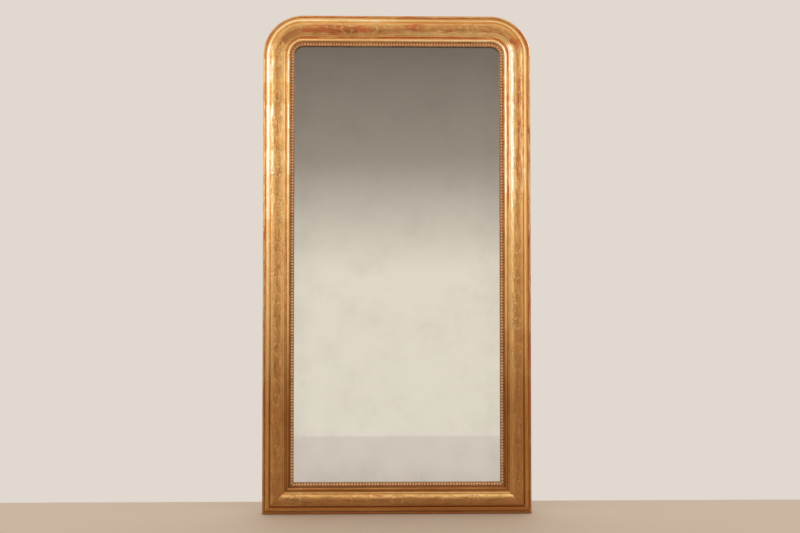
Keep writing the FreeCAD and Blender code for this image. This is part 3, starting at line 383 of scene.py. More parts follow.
def finish_piece(piece, smooth_angle=32.0):
    bpy.ops.object.mode_set(mode="OBJECT")
    bpy.ops.object.shade_smooth_by_angle(angle=math.radians(smooth_angle))
    return piece


def settle(piece, node, material):
    """Puts a new piece in its node's place, on the mirror's body."""
    piece.data.materials.clear()
    piece.data.materials.append(material)
    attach(piece, BODY)
    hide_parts(node)


def read_points(mesh):
    points = np.empty(len(mesh.vertices) * 3)
    mesh.vertices.foreach_get("co", points)
    return points.reshape(-1, 3)


# Sections. Length of one facet on small rounds and on the cushion, and the radius that parts them.
SMALL_STEP = 0.0008
CUSHION_STEP = 0.00107
WIDE_ROUND = 0.02
# Corners sharper than this are softened, and mitres are cut with this gap.
SHARP_CORNER = math.radians(150)
MITRE_GAP = 0.00012
# Edges that follow a run by more than this share run along it.
STRAIGHT = 0.999
# The spin tool turns clockwise about +Y, seen from the front, by a negative angle.
QUARTER = -math.pi / 2
SPIN_AXIS = (0.0, 1.0, 0.0)


def draw_section(corners, origin, across):
    """Draws a closed section from its corners, given as across, rise and round.

    A round is the radius of the arc that leads to the corner: positive bulges outwards, negative
    is hollow and 0 is a straight side.
    """
    turn_axis = across.cross(FRONT)

    def place(u, v):
        return origin + across * u + FRONT * v

    for (u0, v0, _), (u1, v1, radius) in zip(corners, corners[1:] + corners[:1]):
        start, end = Vector((u0, v0)), Vector((u1, v1))
        if not radius:
            bpy.ops.mesh.extrude_vertices_move(
                TRANSFORM_OT_translate={"value": place(*end) - place(*start)}
            )
            continue
        chord = end - start
        left = Vector((-chord.y, chord.x)).normalized()
        reach = math.sqrt(radius ** 2 - (chord.length / 2) ** 2)
        centre = (start + end) / 2 - left * math.copysign(reach, radius)
        angle = 2 * math.asin(chord.length / 2 / abs(radius))
        facet = CUSHION_STEP if abs(radius) > WIDE_ROUND else SMALL_STEP
        bpy.ops.mesh.spin(
            steps=max(3, round(angle * abs(radius) / facet)), angle=math.copysign(angle, radius),
            center=place(*centre), axis=turn_axis
        )
    fill_outline()


def start_section(name, line, corners):
    """Starts a piece as a filled section at the start of a run or a bend."""
    first_across, first_rise, _ = corners[0]
    piece = start_point(name, line.start + line.across * first_across + FRONT * first_rise)
    draw_section(corners, line.start, line.across)
    return piece


def extrude_run(run):
    """Draws the section out along its run and cuts the mitred ends from their outer corners inwards."""
    bpy.ops.mesh.extrude_region_move(TRANSFORM_OT_translate={"value": run.along * run.length})
    close_mesh()
    ends = ((run.start, run.along), (run.start + run.along * run.length, -run.along))
    for (corner, inwards), mitred in zip(ends, run.mitres):
        if mitred:
            bpy.ops.mesh.select_all(action="SELECT")
            slope = (inwards - run.across).normalized()
            bpy.ops.mesh.bisect(
                plane_co=corner + slope * MITRE_GAP, plane_no=slope, use_fill=True, clear_inner=True
            )


def spin_bend(bend, steps):
    """Turns the section a quarter round its bend."""
    bpy.ops.mesh.spin(steps=steps, angle=QUARTER, center=bend.centre, axis=SPIN_AXIS)
    close_mesh()


# Gilded mouldings.
def moulding_corners():
    """Gives the corners of the moulding's section: across, depth and the round that leads there."""
    part = sizes("mirror_section")
    at = edges()
    quirk = part.rim_height - part.rim_quirk_depth
    torus_round = part.torus_width / 2
    torus_fall = part.torus_height - part.torus_inner
    torus_slope = (torus_round ** 2 + torus_fall ** 2) / (2 * torus_fall)
    bead_round = part.bead_width / 2
    floor = part.lip_depth + part.lip_seat
    corners = (
        (0.0, 0.0, 0.0),
        (0.0, part.rim_height - part.rim_round, 0.0),
        (part.rim_round, part.rim_height, part.rim_round),
        (at.rim_quirk, part.rim_height, 0.0),
        (at.rim_quirk, quirk, 0.0),
        (at.torus, quirk, 0.0),
        (at.torus, part.torus_height - torus_round, 0.0),
        (at.torus + torus_round, part.torus_height, torus_round),
        (at.cove, part.torus_inner, torus_slope),
        (at.frieze, part.cove_height, -part.cove_radius),
        (at.frieze, part.frieze_outer, 0.0),
        (at.astragal, part.frieze_inner, part.frieze_radius),
        (at.groove, part.astragal_inner, part.astragal_radius),
        (at.groove, part.groove_height, 0.0),
        (at.bead, part.bead_height - bead_round, -part.groove_radius),
        (at.bead + bead_round, part.bead_height, bead_round),
        (at.bead_quirk, part.bead_height - bead_round, bead_round),
        (at.bead_quirk, floor, 0.0),
        (at.pearls, floor, 0.0),
        (at.pearls, part.lip_depth, 0.0),
        (at.face, part.lip_depth, 0.0),
        (at.face, 0.0, 0.0),
    )
    return [(u, SEAT + v, radius) for u, v, radius in corners]


def soften_arrises():
    """Rounds the filled section's sharp corners, apart from the two on its seat."""
    def sharp(vert):
        ways = [edge.other_vert(vert).co - vert.co for edge in vert.link_edges]
        return -vert.co.y > SEAT + TOUCH and ways[0].angle(ways[1]) < SHARP_CORNER

    pick("verts", sharp)
    bpy.ops.mesh.bevel(offset=sizes("mirror_section").arris, offset_type="OFFSET", segments=3,
                       affect="VERTICES")
    bpy.ops.mesh.select_all(action="SELECT")


def moulding_run(run):
    """Models one straight length: section, extrusion, mitres and a close grid on the frieze."""
    part = sizes("mirror_section")
    piece = start_section(f"gilded_moulding_{run.name}", run, moulding_corners())
    soften_arrises()
    extrude_run(run)
    middle = edges().frieze_middle
    reach = part.frieze_width / 2 - 2 * part.arris
    crown = SEAT + part.frieze_outer

    def on_frieze(edge):
        first, second = (vert.co for vert in edge.verts)
        straight = abs((second - first).normalized().dot(run.along)) > STRAIGHT
        across = (first - run.start).dot(run.across)
        return straight and abs(across - middle) < reach and min(-first.y, -second.y) > crown

    # Two passes, each as many parts as the root, make facets as long as those of the cushion.
    cuts = round(math.sqrt(run.length / CUSHION_STEP)) - 1
    for _ in range(2):
        pick("edges", on_frieze)
        bpy.ops.mesh.subdivide(number_cuts=cuts)
    bpy.ops.object.mode_set(mode="OBJECT")
    return piece


def moulding_bend(bend):
    """Models one round corner: the section spun a quarter turn."""
    piece = start_section(f"gilded_moulding_{bend.name}", bend, moulding_corners())
    soften_arrises()
    spin_bend(bend, round(arc_length() / CUSHION_STEP))
    bpy.ops.object.mode_set(mode="OBJECT")
    return piece


def arc_length():
    """Gives the length of a round corner along the frieze's middle line."""
    return math.pi / 2 * (CORNER - edges().frieze_middle)


def distance_to(name):
    """Gives the distance round the frame, from the left foot, to the start of a run or bend."""
    arc = arc_length()
    walk = {"left": ROUND_Z, "corner_left": arc, "top": 2 * ROUND_X, "corner_right": arc,
            "right": ROUND_Z, "bottom": WIDTH}
    names = list(walk)
    return sum(walk[passed] for passed in names[:names.index(name)])


def run_places(run, points):
    """Gives each point's distance round the frame and across the moulding."""
    offset = points - np.array(run.start)
    return distance_to(run.name) + offset @ np.array(run.along), offset @ np.array(run.across)


def bend_places(bend, points):
    """Gives the same distances on a round corner."""
    offset = points - np.array(bend.centre)
    outward = offset @ np.array(-bend.across)
    forward = offset @ np.array(FRONT.cross(bend.across))
    turned = np.arctan2(forward, outward) / (math.pi / 2)
    return distance_to(bend.name) + turned * arc_length(), CORNER - np.hypot(forward, outward)


# The vine. Leaves spring from the stem at a share of a half wave from its crest, with two leans.
LEAF_ROOT = 0.24
LEAF_LEANS = (math.radians(24), math.radians(-62))
# Fullness of a leaf's outline towards its root, and the share of its length that its vein takes.
LEAF_SWELL = 0.8
LEAF_VEIN = 0.8
# Petals of a flower, with its waist between them and its heart as shares of its radius.
PETALS = 5
FLOWER_WAIST = 0.66
FLOWER_HEART = 0.3
# Share of the bare stretch at a mitre where nothing of the vine shows, and the least cut that is made.
BARE_SHARE = 0.4
LEAST_CUT = 0.01


def stripe(distance, width, soft):
    """Gives 1 within half the width of a line, fading to 0 over the soft edge."""
    return np.clip(1.0 - (distance - width / 2) / soft, 0.0, 1.0)


def leaf(forward, outward, lean):
    """Gives a leaf's inside and its incised lines, seen from its root."""
    part = sizes("mirror_vine")
    reach = forward * math.cos(lean) + outward * math.sin(lean)
    aside = outward * math.cos(lean) - forward * math.sin(lean)
    passed = np.clip(reach / part.leaf_length, 0.0, 1.0)
    half = part.leaf_width * np.sin(math.pi * passed ** LEAF_SWELL)
    there = (reach > 0) & (reach < part.leaf_length)
    inside = np.where(there & (np.abs(aside) < half), 1.0, 0.0)
    rim = stripe(np.abs(np.abs(aside) - half), part.line, part.soft)
    vein = stripe(np.abs(aside), part.line / 2, part.soft) * (passed < LEAF_VEIN)
    return inside, np.where(there, np.maximum(rim, vein), 0.0)


def flower(forward, outward):
    """Gives a flower's inside and its incised lines, seen from its heart."""
    part = sizes("mirror_vine")
    radius = np.hypot(forward, outward)
    lobe = np.abs(np.cos(PETALS / 2 * np.arctan2(outward, forward)))
    petal = part.flower_radius * (FLOWER_WAIST + (1 - FLOWER_WAIST) * lobe)
    inside = np.where(radius < petal, 1.0, 0.0)
    rim = stripe(np.abs(radius - petal), part.line, part.soft)
    heart = stripe(np.abs(radius - FLOWER_HEART * part.flower_radius), part.line, part.soft)
    return inside, np.maximum(rim, heart)


def vine(along, aside):
    """Draws the trailing vine at points along and aside of the frieze's middle line.

    Returns the incised lines and the burnished insides of leaves and petals, both from 0 to 1.
    """
    part = sizes("mirror_vine")
    wave = math.pi / part.half_wave
    stem = part.swing * np.sin(wave * along)
    slope = part.swing * wave * np.cos(wave * along)
    incised = stripe(np.abs(aside - stem) / np.hypot(1.0, slope), part.line, part.soft)
    burnished = np.zeros_like(along)
    nearest = np.floor(along / part.half_wave)
    for step in (-1, 0, 1):
        index = nearest + step
        hand = np.where(index % 2 == 0, 1.0, -1.0)
        crest = (index + 0.5) * part.half_wave
        growth = [flower(along - crest, aside + hand * part.flower_offset)]
        for way in (-1, 1):
            root = crest + way * LEAF_ROOT * part.half_wave
            side = part.swing * np.sin(wave * root)
            growth += [leaf(way * (along - root), hand * (aside - side), lean) for lean in LEAF_LEANS]
        for inside, line in growth:
            burnished = np.maximum(burnished, inside)
            incised = np.maximum(incised, line)
    return incised, burnished


def vine_along(points):
    """Gives the distance along the vine, which grows both ways from the middle of the top."""
    x, z = np.abs(points[:, 0]), points[:, 2]
    angle = np.arctan2(x - ROUND_X, np.maximum(z - ROUND_Z, 0.0))
    down = ROUND_X + arc_length() + ROUND_Z - z
    bend = ROUND_X + angle / (math.pi / 2) * arc_length()
    way = np.where(z < ROUND_Z, down, np.where(x < ROUND_X, x, bend))
    foot = (z < edges().face) & (HALF - x > z)
    return np.where(foot, x, way)


def vine_shown(points, aside):
    """Gives where the vine may be cut: on the frieze's crown, clear of its edges and the mitres."""
    part = sizes("mirror_section")
    mitre_gap = np.abs(HALF - np.abs(points[:, 0]) - points[:, 2]) / math.sqrt(2)
    fade = np.clip(mitre_gap / sizes("mirror_vine").bare_mitre - BARE_SHARE, 0.0, 1.0)
    crown = -points[:, 1] > SEAT + part.frieze_outer
    margin = part.frieze_width / 2 - sizes("mirror_vine").bare_edge
    return fade * np.where(crown & (np.abs(aside) < margin), 1.0, 0.0)


def dress_moulding(piece, places):
    """Lays the map round the frame, keeps the vine's masks and cuts its lines in the frieze."""
    mesh = piece.data
    points = read_points(mesh)
    along, across = places
    aside = across - edges().frieze_middle
    shown = vine_shown(points, aside)
    incised, burnished = (mask * shown for mask in vine(vine_along(points), aside))
    for name, mask in (("incised", incised), ("burnished", burnished)):
        layer = mesh.attributes.new(name, "FLOAT", "POINT")
        layer.data.foreach_set("value", mask.astype(np.float32))
    corners = np.empty(len(mesh.loops), dtype=np.int64)
    mesh.loops.foreach_get("vertex_index", corners)
    chart = np.stack((along[corners], across[corners]), axis=1).astype(np.float32)
    mesh.uv_layers.new(name="run").uv.foreach_set("vector", chart.ravel())
    group = piece.vertex_groups.new(name="incised")
    for index in np.nonzero(incised > LEAST_CUT)[0]:
        group.add([int(index)], float(incised[index]), "REPLACE")
    select_only(piece)
    apply_modifier(piece, "DISPLACE", vertex_group="incised", strength=-sizes("mirror_vine").depth,
                   mid_level=0.0)
    finish_piece(piece)


# Pearl strips. A pearl's foot flares by this much, and pearls are shaded smooth up to this angle.
FOOT_FLARE = 1.05
PEARL_SMOOTH = 40.0


def pearl_line():
    """Gives the middle line of the pearls across the moulding."""
    part = sizes("mirror_pearls")
    return edges().face - part.margin - part.radius


def strip_depth():
    """Gives the depth of the strip's face, on which the pearls sit."""
    section = sizes("mirror_section")
    return SEAT + section.lip_depth + section.lip_seat


def strip_corners():
    section = sizes("mirror_section")
    low = SEAT + section.lip_depth
    high = strip_depth()
    inner = edges().face
    outer = inner - section.lip_width + sizes("mirror_pearls").strip_gap
    return [(outer, low, 0.0), (outer, high, 0.0), (inner, high, 0.0), (inner, low, 0.0)]


def model_pearl(name, place):
    """Models one pearl: the front of a ball, cut at its strip, with a flared foot in the strip."""
    part = sizes("mirror_pearls")
    clear_selection()
    bpy.ops.mesh.primitive_uv_sphere_add(
        segments=part.segments, ring_count=part.rings, radius=part.radius, enter_editmode=True
    )
    bpy.context.object.name = name
    bpy.ops.transform.rotate(value=math.pi / 2, orient_axis="X", center_override=(0.0, 0.0, 0.0))
    bpy.ops.mesh.bisect(
        plane_co=(0.0, 0.0, 0.0), plane_no=FRONT, use_fill=True, clear_inner=True
    )
    pick("faces", lambda face: len(face.verts) > 4)
    bpy.ops.transform.resize(value=(FOOT_FLARE, 1.0, FOOT_FLARE), center_override=(0.0, 0.0, 0.0))
    bpy.ops.transform.translate(value=-FRONT * part.foot)
    bpy.ops.mesh.select_all(action="SELECT")
    bpy.ops.transform.translate(value=place)
    bpy.ops.mesh.normals_make_consistent(inside=False)
    return bpy.context.object


def pearl_run(run):
    """A straight strip with its pearls spaced evenly between mitres or square ends."""
    part = sizes("mirror_pearls")
    strip = start_section(f"pearl_strip_{run.name}", run, strip_corners())
    extrude_run(run)
    pitch = 2 * part.radius + part.gap
    mitred = pearl_line() + part.radius * math.sqrt(2) + part.gap / 2
    first, last = (mitred if cut else pitch / 2 for cut in run.mitres)
    span = run.length - first - last
    count = round(span / pitch) + 1
    place = run.start + run.along * first + run.across * pearl_line() + FRONT * strip_depth()
    pearls = model_pearl(f"pearls_{run.name}", place)
    bpy.ops.object.mode_set(mode="OBJECT")
    apply_modifier(pearls, "ARRAY", count=count, use_relative_offset=False, use_constant_offset=True,
                   constant_offset_displace=run.along * (span / (count - 1)))
    return join(strip, pearls)


def pearl_bend(bend):
    """A quarter ring of strip with its pearls spaced evenly round it."""
    part = sizes("mirror_pearls")
    strip = start_section(f"pearl_strip_{bend.name}", bend, strip_corners())
    spin_bend(bend, part.strip_steps)
    radius = CORNER - pearl_line()
    count = round(math.pi / 2 * radius / (2 * part.radius + part.gap))
    step = math.pi / 2 / count
    forward = FRONT.cross(bend.across)
    place = (bend.centre - bend.across * radius * math.cos(step / 2)
             + forward * radius * math.sin(step / 2) + FRONT * strip_depth())
    pearls = model_pearl(f"pearls_{bend.name}", place)
    bpy.ops.mesh.select_all(action="SELECT")
    bpy.ops.mesh.spin(steps=count - 1, dupli=True, angle=QUARTER * (count - 1) / count,
                      center=bend.centre, axis=SPIN_AXIS)
    return join(strip, pearls)


def join(*parts):
    select_only(*parts)
    bpy.ops.object.join()
    return finish_piece(parts[0], PEARL_SMOOTH)


# Boards. Flat faces are merged up to one angle, and edges sharper than the other are eased.
FLAT_ANGLE = math.radians(0.5)
EASED_ANGLE = math.radians(50)
# Angles up to which boards and the shallow fields of panels are shaded smooth.
BOARD_SMOOTH = 12.0
FIELD_SMOOTH = 0.5


def eased_copy(node, number):
    """Copies a board of the frame, merges its mesh, eases its sharp edges and numbers it."""
    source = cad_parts[node]
    piece = bpy.data.objects.new(f"eased_{node}", source.data.copy())
    piece.data.transform(source.matrix_world)
    bpy.context.collection.objects.link(piece)
    select_only(piece)
    bpy.ops.object.mode_set(mode="EDIT")
    close_mesh()
    bpy.ops.mesh.dissolve_limited(angle_limit=FLAT_ANGLE)
    bpy.ops.object.mode_set(mode="OBJECT")
    apply_modifier(piece, "BEVEL", width=sizes("mirror_boards").ease, segments=2, limit_method="ANGLE",
                   angle_limit=EASED_ANGLE)
    layer = piece.data.attributes.new("board", "FLOAT", "POINT")
    layer.data.foreach_set("value", np.full(len(piece.data.vertices), number, dtype=np.float32))
    return finish_piece(piece, FIELD_SMOOTH if "panel" in node else BOARD_SMOOTH)


# Screws. Points within this reach of each other are of one screw, and its shank starts at this share.
SCREW_REACH = 0.0125
SHANK_SHARE = 0.7
# A screw's point takes at most this share of its shank and narrows to this scale.
POINT_SHARE = 0.25
POINT_SCALE = 0.2
# Turn of each screw's slot against the one before.
SCREW_TURN = math.radians(67)


class Screws(NamedTuple):
    """Axes of like screws, as x and z, and their common depths and radii."""

    axes: list
    head: float
    tip: float
    head_radius: float
    shank_radius: float


def read_screws(node):
    """Reads the places and sizes of a node's screws from the frame."""
    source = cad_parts[node]
    mesh = source.data.copy()
    mesh.transform(source.matrix_world)
    points = read_points(mesh)
    bpy.data.meshes.remove(mesh)
    left = points
    axes = []
    while len(left):
        near = np.hypot(left[:, 0] - left[0, 0], left[:, 2] - left[0, 2]) < SCREW_REACH
        low, high = left[near].min(axis=0), left[near].max(axis=0)
        axes.append(((low[0] + high[0]) / 2, (low[2] + high[2]) / 2))
        left = left[~near]
    depth = -points[:, 1]
    head, tip = depth.min(), depth.max()
    radius = np.hypot(points[:, 0] - axes[0][0], points[:, 2] - axes[0][1])
    first = radius < SCREW_REACH
    deep = first & (depth > head + SHANK_SHARE * (tip - head))
    return Screws(axes, head, tip, radius[first].max(), radius[deep].max())


def slotted_screws(node):
    """Models one slotted screw by extrusion, and copies it to all the screws' places."""
    screws = read_screws(node)
    part = sizes("mirror_boards")
    x, z = screws.axes[0]
    top = Vector((x, -screws.head, z))
    piece = start_point(f"slotted_{node}", top + RIGHT * screws.head_radius)
    bpy.ops.mesh.spin(steps=part.screw_sides, angle=2 * math.pi, center=top, axis=SPIN_AXIS)
    fill_outline()
    cone = screws.head_radius - screws.shank_radius
    shank = screws.tip - screws.head - part.screw_edge - cone
    point = min(POINT_SHARE * shank, 2 * screws.shank_radius)
    for step, scale in ((part.screw_edge, 1.0), (cone, screws.shank_radius / screws.head_radius),
                        (shank - point, 1.0), (point, POINT_SCALE)):
        bpy.ops.mesh.extrude_region_move(TRANSFORM_OT_translate={"value": FRONT * step})
        bpy.ops.transform.resize(value=(scale, 1.0, scale), center_override=top)
    close_mesh()

    def on_head(face):
        return all(abs(vert.co.y - top.y) < TOUCH for vert in face.verts)

    half = part.slot_width * screws.head_radius / 2
    for reach in (-half, half):
        pick("faces", on_head)
        bpy.ops.mesh.bisect(plane_co=top + RIGHT * reach, plane_no=RIGHT)
    pick("faces", lambda face: on_head(face) and abs(face.calc_center_median().x - x) < half)
    bpy.ops.mesh.extrude_region_move(
        TRANSFORM_OT_translate={"value": FRONT * part.slot_depth * screws.head_radius})
    close_mesh()
    for before, after in zip(screws.axes, screws.axes[1:]):
        shift = Vector((after[0] - before[0], 0.0, after[1] - before[1]))
        bpy.ops.mesh.duplicate_move(TRANSFORM_OT_translate={"value": shift})
        bpy.ops.transform.rotate(value=SCREW_TURN, orient_axis="Y",
                                 center_override=(after[0], top.y, after[1]))
    return finish_piece(piece)


# Shader helpers.
class Nodes:
    """A node tree with short ways to add and join nodes."""

    def __init__(self, tree):
        self.tree = tree

    def add(self, kind, inputs=None, **settings):
        node = self.tree.nodes.new(kind)
        for name, value in settings.items():
            setattr(node, name, value)
        for name, value in (inputs or {}).items():
            self.feed(node.inputs[name], value)
        return node

    def feed(self, socket, value):
        if isinstance(value, bpy.types.NodeSocket):
            self.tree.links.new(value, socket)
        else:
            socket.default_value = value

    def maths(self, operation, *values, clamp=False):
        inputs = dict(enumerate(values))
        return self.add("ShaderNodeMath", inputs, operation=operation, use_clamp=clamp).outputs[0]

    def plus(self, *values):
        return reduce(partial(self.maths, "ADD"), values)

    def times(self, *values):
        return reduce(partial(self.maths, "MULTIPLY"), values)

    def most(self, *values):
        return reduce(partial(self.maths, "MAXIMUM"), values)

    def least(self, *values):
        return reduce(partial(self.maths, "MINIMUM"), values)

    def scaled(self, value, factor, offset=0.0):
        return self.maths("MULTIPLY_ADD", value, factor, offset)

    def rest(self, mask):
        """Gives what a mask leaves of 1."""
        return self.maths("SUBTRACT", 1.0, mask)

    def span(self, value, low, high, to_low=0.0, to_high=1.0):
        """Goes smoothly from one result at low to the other at high."""
        inputs = {0: value, 1: low, 2: high, 3: to_low, 4: to_high}
        return self.add("ShaderNodeMapRange", inputs, interpolation_type="SMOOTHSTEP").outputs[0]

    def band(self, value, begin, full, fade, end):
        """Gives a mask that rises from begin to full and falls from fade to end."""
        return self.times(self.span(value, begin, full), self.span(value, end, fade))

    def mix(self, factor, first, second, kind="MIX"):
        inputs = {0: factor, 6: paint(first), 7: paint(second)}
        return self.add("ShaderNodeMix", inputs, data_type="RGBA", blend_type=kind).outputs[2]

    def blend(self, factor, first, second):
        return self.add("ShaderNodeMix", {0: factor, 2: first, 3: second}, data_type="FLOAT").outputs[0]

    def noise(self, vector, scale=1.0, detail=4.0, roughness=0.55):
        inputs = {"Vector": vector, "Scale": scale, "Detail": detail, "Roughness": roughness}
        return self.add("ShaderNodeTexNoise", inputs).outputs[0]

    def stretch(self, vector, scale):
        return self.add("ShaderNodeMapping", {"Vector": vector, "Scale": scale}).outputs[0]

    def ramp(self, value, stops):
        """Adds a ramp through stops of position and grey value or colour."""
        node = self.add("ShaderNodeValToRGB", {0: value})
        points = node.color_ramp.elements
        while len(points) < len(stops):
            points.new(0.5)
        for point, (position, colour) in zip(points, stops):
            point.position = position
            point.color = paint((colour,) * 3 if isinstance(colour, float) else colour)
        return node.outputs[0]

    def axes(self, vector):
        return self.add("ShaderNodeSeparateXYZ", {0: vector}).outputs

    def spot(self):
        """Gives the place on the object."""
        return self.add("ShaderNodeTexCoord").outputs["Object"]

    def attribute(self, name):
        return self.add("ShaderNodeAttribute", attribute_name=name).outputs["Fac"]

    def bump(self, height, strength, distance, normal=None):
        inputs = {"Height": height, "Strength": strength, "Distance": distance}
        if normal:
            inputs["Normal"] = normal
        return self.add("ShaderNodeBump", inputs).outputs[0]

    def use(self, group, **inputs):
        node = self.add("ShaderNodeGroup", node_tree=bpy.data.node_groups[group])
        for name, value in inputs.items():
            self.feed(node.inputs[name.capitalize()], value)
        return node.outputs


def paint(colour):
    if isinstance(colour, bpy.types.NodeSocket):
        return colour
    return (*colour[:3], 1.0)


# Kinds of sockets of the node groups.
VALUE = "NodeSocketFloat"
VECTOR = "NodeSocketVector"


def new_group(name, inputs, outputs):
    """Makes an empty node group and returns its nodes, its inputs and its output node."""
    tree = bpy.data.node_groups.new(name, "ShaderNodeTree")
    for title, kind in inputs.items():
        tree.interface.new_socket(name=title, in_out="INPUT", socket_type=kind)
    for title in outputs:
        tree.interface.new_socket(name=title, in_out="OUTPUT", socket_type=VALUE)
    nodes = Nodes(tree)
    return nodes, nodes.add("NodeGroupInput").outputs, nodes.add("NodeGroupOutput").inputs


def new_material(name):
    """Makes an empty material and returns it with its nodes and its Principled shader's inputs."""
    material = bpy.data.materials.new(name)
    material.use_nodes = True
    material.node_tree.nodes.clear()
    nodes = Nodes(material.node_tree)
    shader = nodes.add("ShaderNodeBsdfPrincipled")
    nodes.add("ShaderNodeOutputMaterial", {"Surface": shader.outputs[0]})
    return material, nodes, shader.inputs


# Effects that several finishes share.
def rub_group():
    """Patches rubbed through a finish: more of them where the surface stands proud."""
    nodes, given, result = new_group(
        "rubbed_patches", {"Vector": VECTOR, "Proud": VALUE, "Amount": VALUE}, ("Mask",))
    broad = nodes.noise(given["Vector"], 1.0, 6.0, 0.62)
    fine = nodes.noise(given["Vector"], 5.3, 4.0, 0.6)
    lift = nodes.times(given["Proud"], given["Amount"])
    nodes.feed(result["Mask"], nodes.span(nodes.plus(nodes.blend(0.25, broad, fine), lift), 0.63, 0.74))


def grime_group():
    """Dirt and toning: a soft veil, thick in hollows, with fine specks."""
    nodes, given, result = new_group(
        "settled_grime", {"Vector": VECTOR, "Hollow": VALUE}, ("Veil", "Specks"))
    cloud = nodes.noise(given["Vector"], 14.0, 5.0, 0.6)
    nodes.feed(result["Veil"], nodes.span(nodes.scaled(cloud, 0.7, given["Hollow"]), 0.35, 1.30))
    speck = nodes.noise(given["Vector"], 520.0, 2.0, 0.6)
    nodes.feed(result["Specks"], nodes.span(speck, 0.64, 0.72))


# Yearly rings in a metre of plank.
RINGS = 115.0


def grain_group():
    """Sawn softwood with its grain along the vector's third axis."""
    nodes, given, result = new_group(
        "plank_grain", {"Vector": VECTOR}, ("Late wood", "Fibre", "Knots", "Stain"))
    vector = given["Vector"]
    spots = nodes.add("ShaderNodeTexVoronoi", {
        "Vector": nodes.stretch(vector, (5.5, 5.5, 2.6)), "Scale": 1.0, "Randomness": 1.0,
    }).outputs["Distance"]
    swirl = nodes.span(spots, 0.34, 0.06, 0.0, 0.035)
    warp = nodes.noise(nodes.stretch(vector, (7.0, 7.0, 0.9)), 1.0, 3.0, 0.5)
    x, y, _ = nodes.axes(vector)
    place = nodes.plus(nodes.scaled(y, 0.62, x), nodes.scaled(warp, 0.11, swirl))
    rings = nodes.maths("FRACT", nodes.times(place, RINGS))
    stain = nodes.noise(nodes.stretch(vector, (4.0, 4.0, 1.4)), 1.0, 5.0, 0.6)
    fibre = nodes.noise(nodes.stretch(vector, (900.0, 900.0, 22.0)), 1.0, 3.0, 0.6)
    nodes.feed(result["Late wood"], nodes.band(rings, 0.25, 0.86, 0.9, 1.0))
    nodes.feed(result["Fibre"], fibre)
    nodes.feed(result["Knots"], nodes.span(spots, 0.10, 0.05))
    nodes.feed(result["Stain"], nodes.span(stain, 0.42, 0.72))


# Water gilding. Heights above the floor at which a change of the leaf is nil and is full.
HEIGHTS = {
    "low": (1.25, 0.25),
    "lower": (0.75, 0.30),
    "upper": (0.30, 0.75),
    "above_foot": (0.24, 0.34),
    "below_middle": (1.0, 0.8),
    "above_middle": (0.75, 1.2),
    "well_above": (0.95, 1.15),
    "glinting": (0.95, 1.30),
    "browned": (1.1, 0.85),
    "below_head": (HEIGHT - 0.11, HEIGHT - 0.15),
    "head": (HEIGHT - 0.11, HEIGHT - 0.09),
}
# Patterns of wear: how fine along and across the moulding, with their detail and roughness.
PATTERNS = {
    "kept": (9.0, 22.0, 3.0, 0.55),
    "stretches": (6.5, 8.0, 2.0, 0.5),
    "smears": (17.0, 75.0, 5.0, 0.65),
    "flecks": (110.0, 190.0, 2.0, 0.4),
    "cloud": (26.0, 95.0, 6.0, 0.66),
    "streaks": (11.0, 300.0, 4.0, 0.6),
    "jitter": (3.0, 60.0, 2.0, 0.5),
    "sway": (30.0, 90.0, 3.0, 0.5),
}
# Levels of some patterns at which their masks are nil and are full.
LEVELS = {"kept": (0.40, 0.62), "stretches": (0.40, 0.60), "smears": (0.50, 0.66), "flecks": (0.70, 0.78)}
# Stretches beside the mitres at the foot that are worn, and the fine dark line where they open.
MITRE_WORN = (0.012, 0.0)
MITRE_CRACK = (0.0010, 0.0003, 0.0, 0.7)
MITRE_RUBBED = 0.9
# Softness of the change from left to right and from the foot to the stiles.
RIGHT_SOFT = (-0.1, 0.1)
FOOT_SOFT = (-0.0005, 0.0005)
# Length of one gold leaf along the moulding, and how its laps wander and show.
LEAF_PITCH = 0.078
LAP_WANDER = 0.35
LAP_LINE = (0.014, 0.004)


class Touch(NamedTuple):
    """What changes where masks of the leaf meet: its shine, which mostly paints highlights and shade by
    place, its rubbing to the bole, and its toning, which also paints shade.
    """

    where: tuple
    shine_and_painted_light: float = 0.0
    rubbed: float = 0.0
    toned: float = 0.0


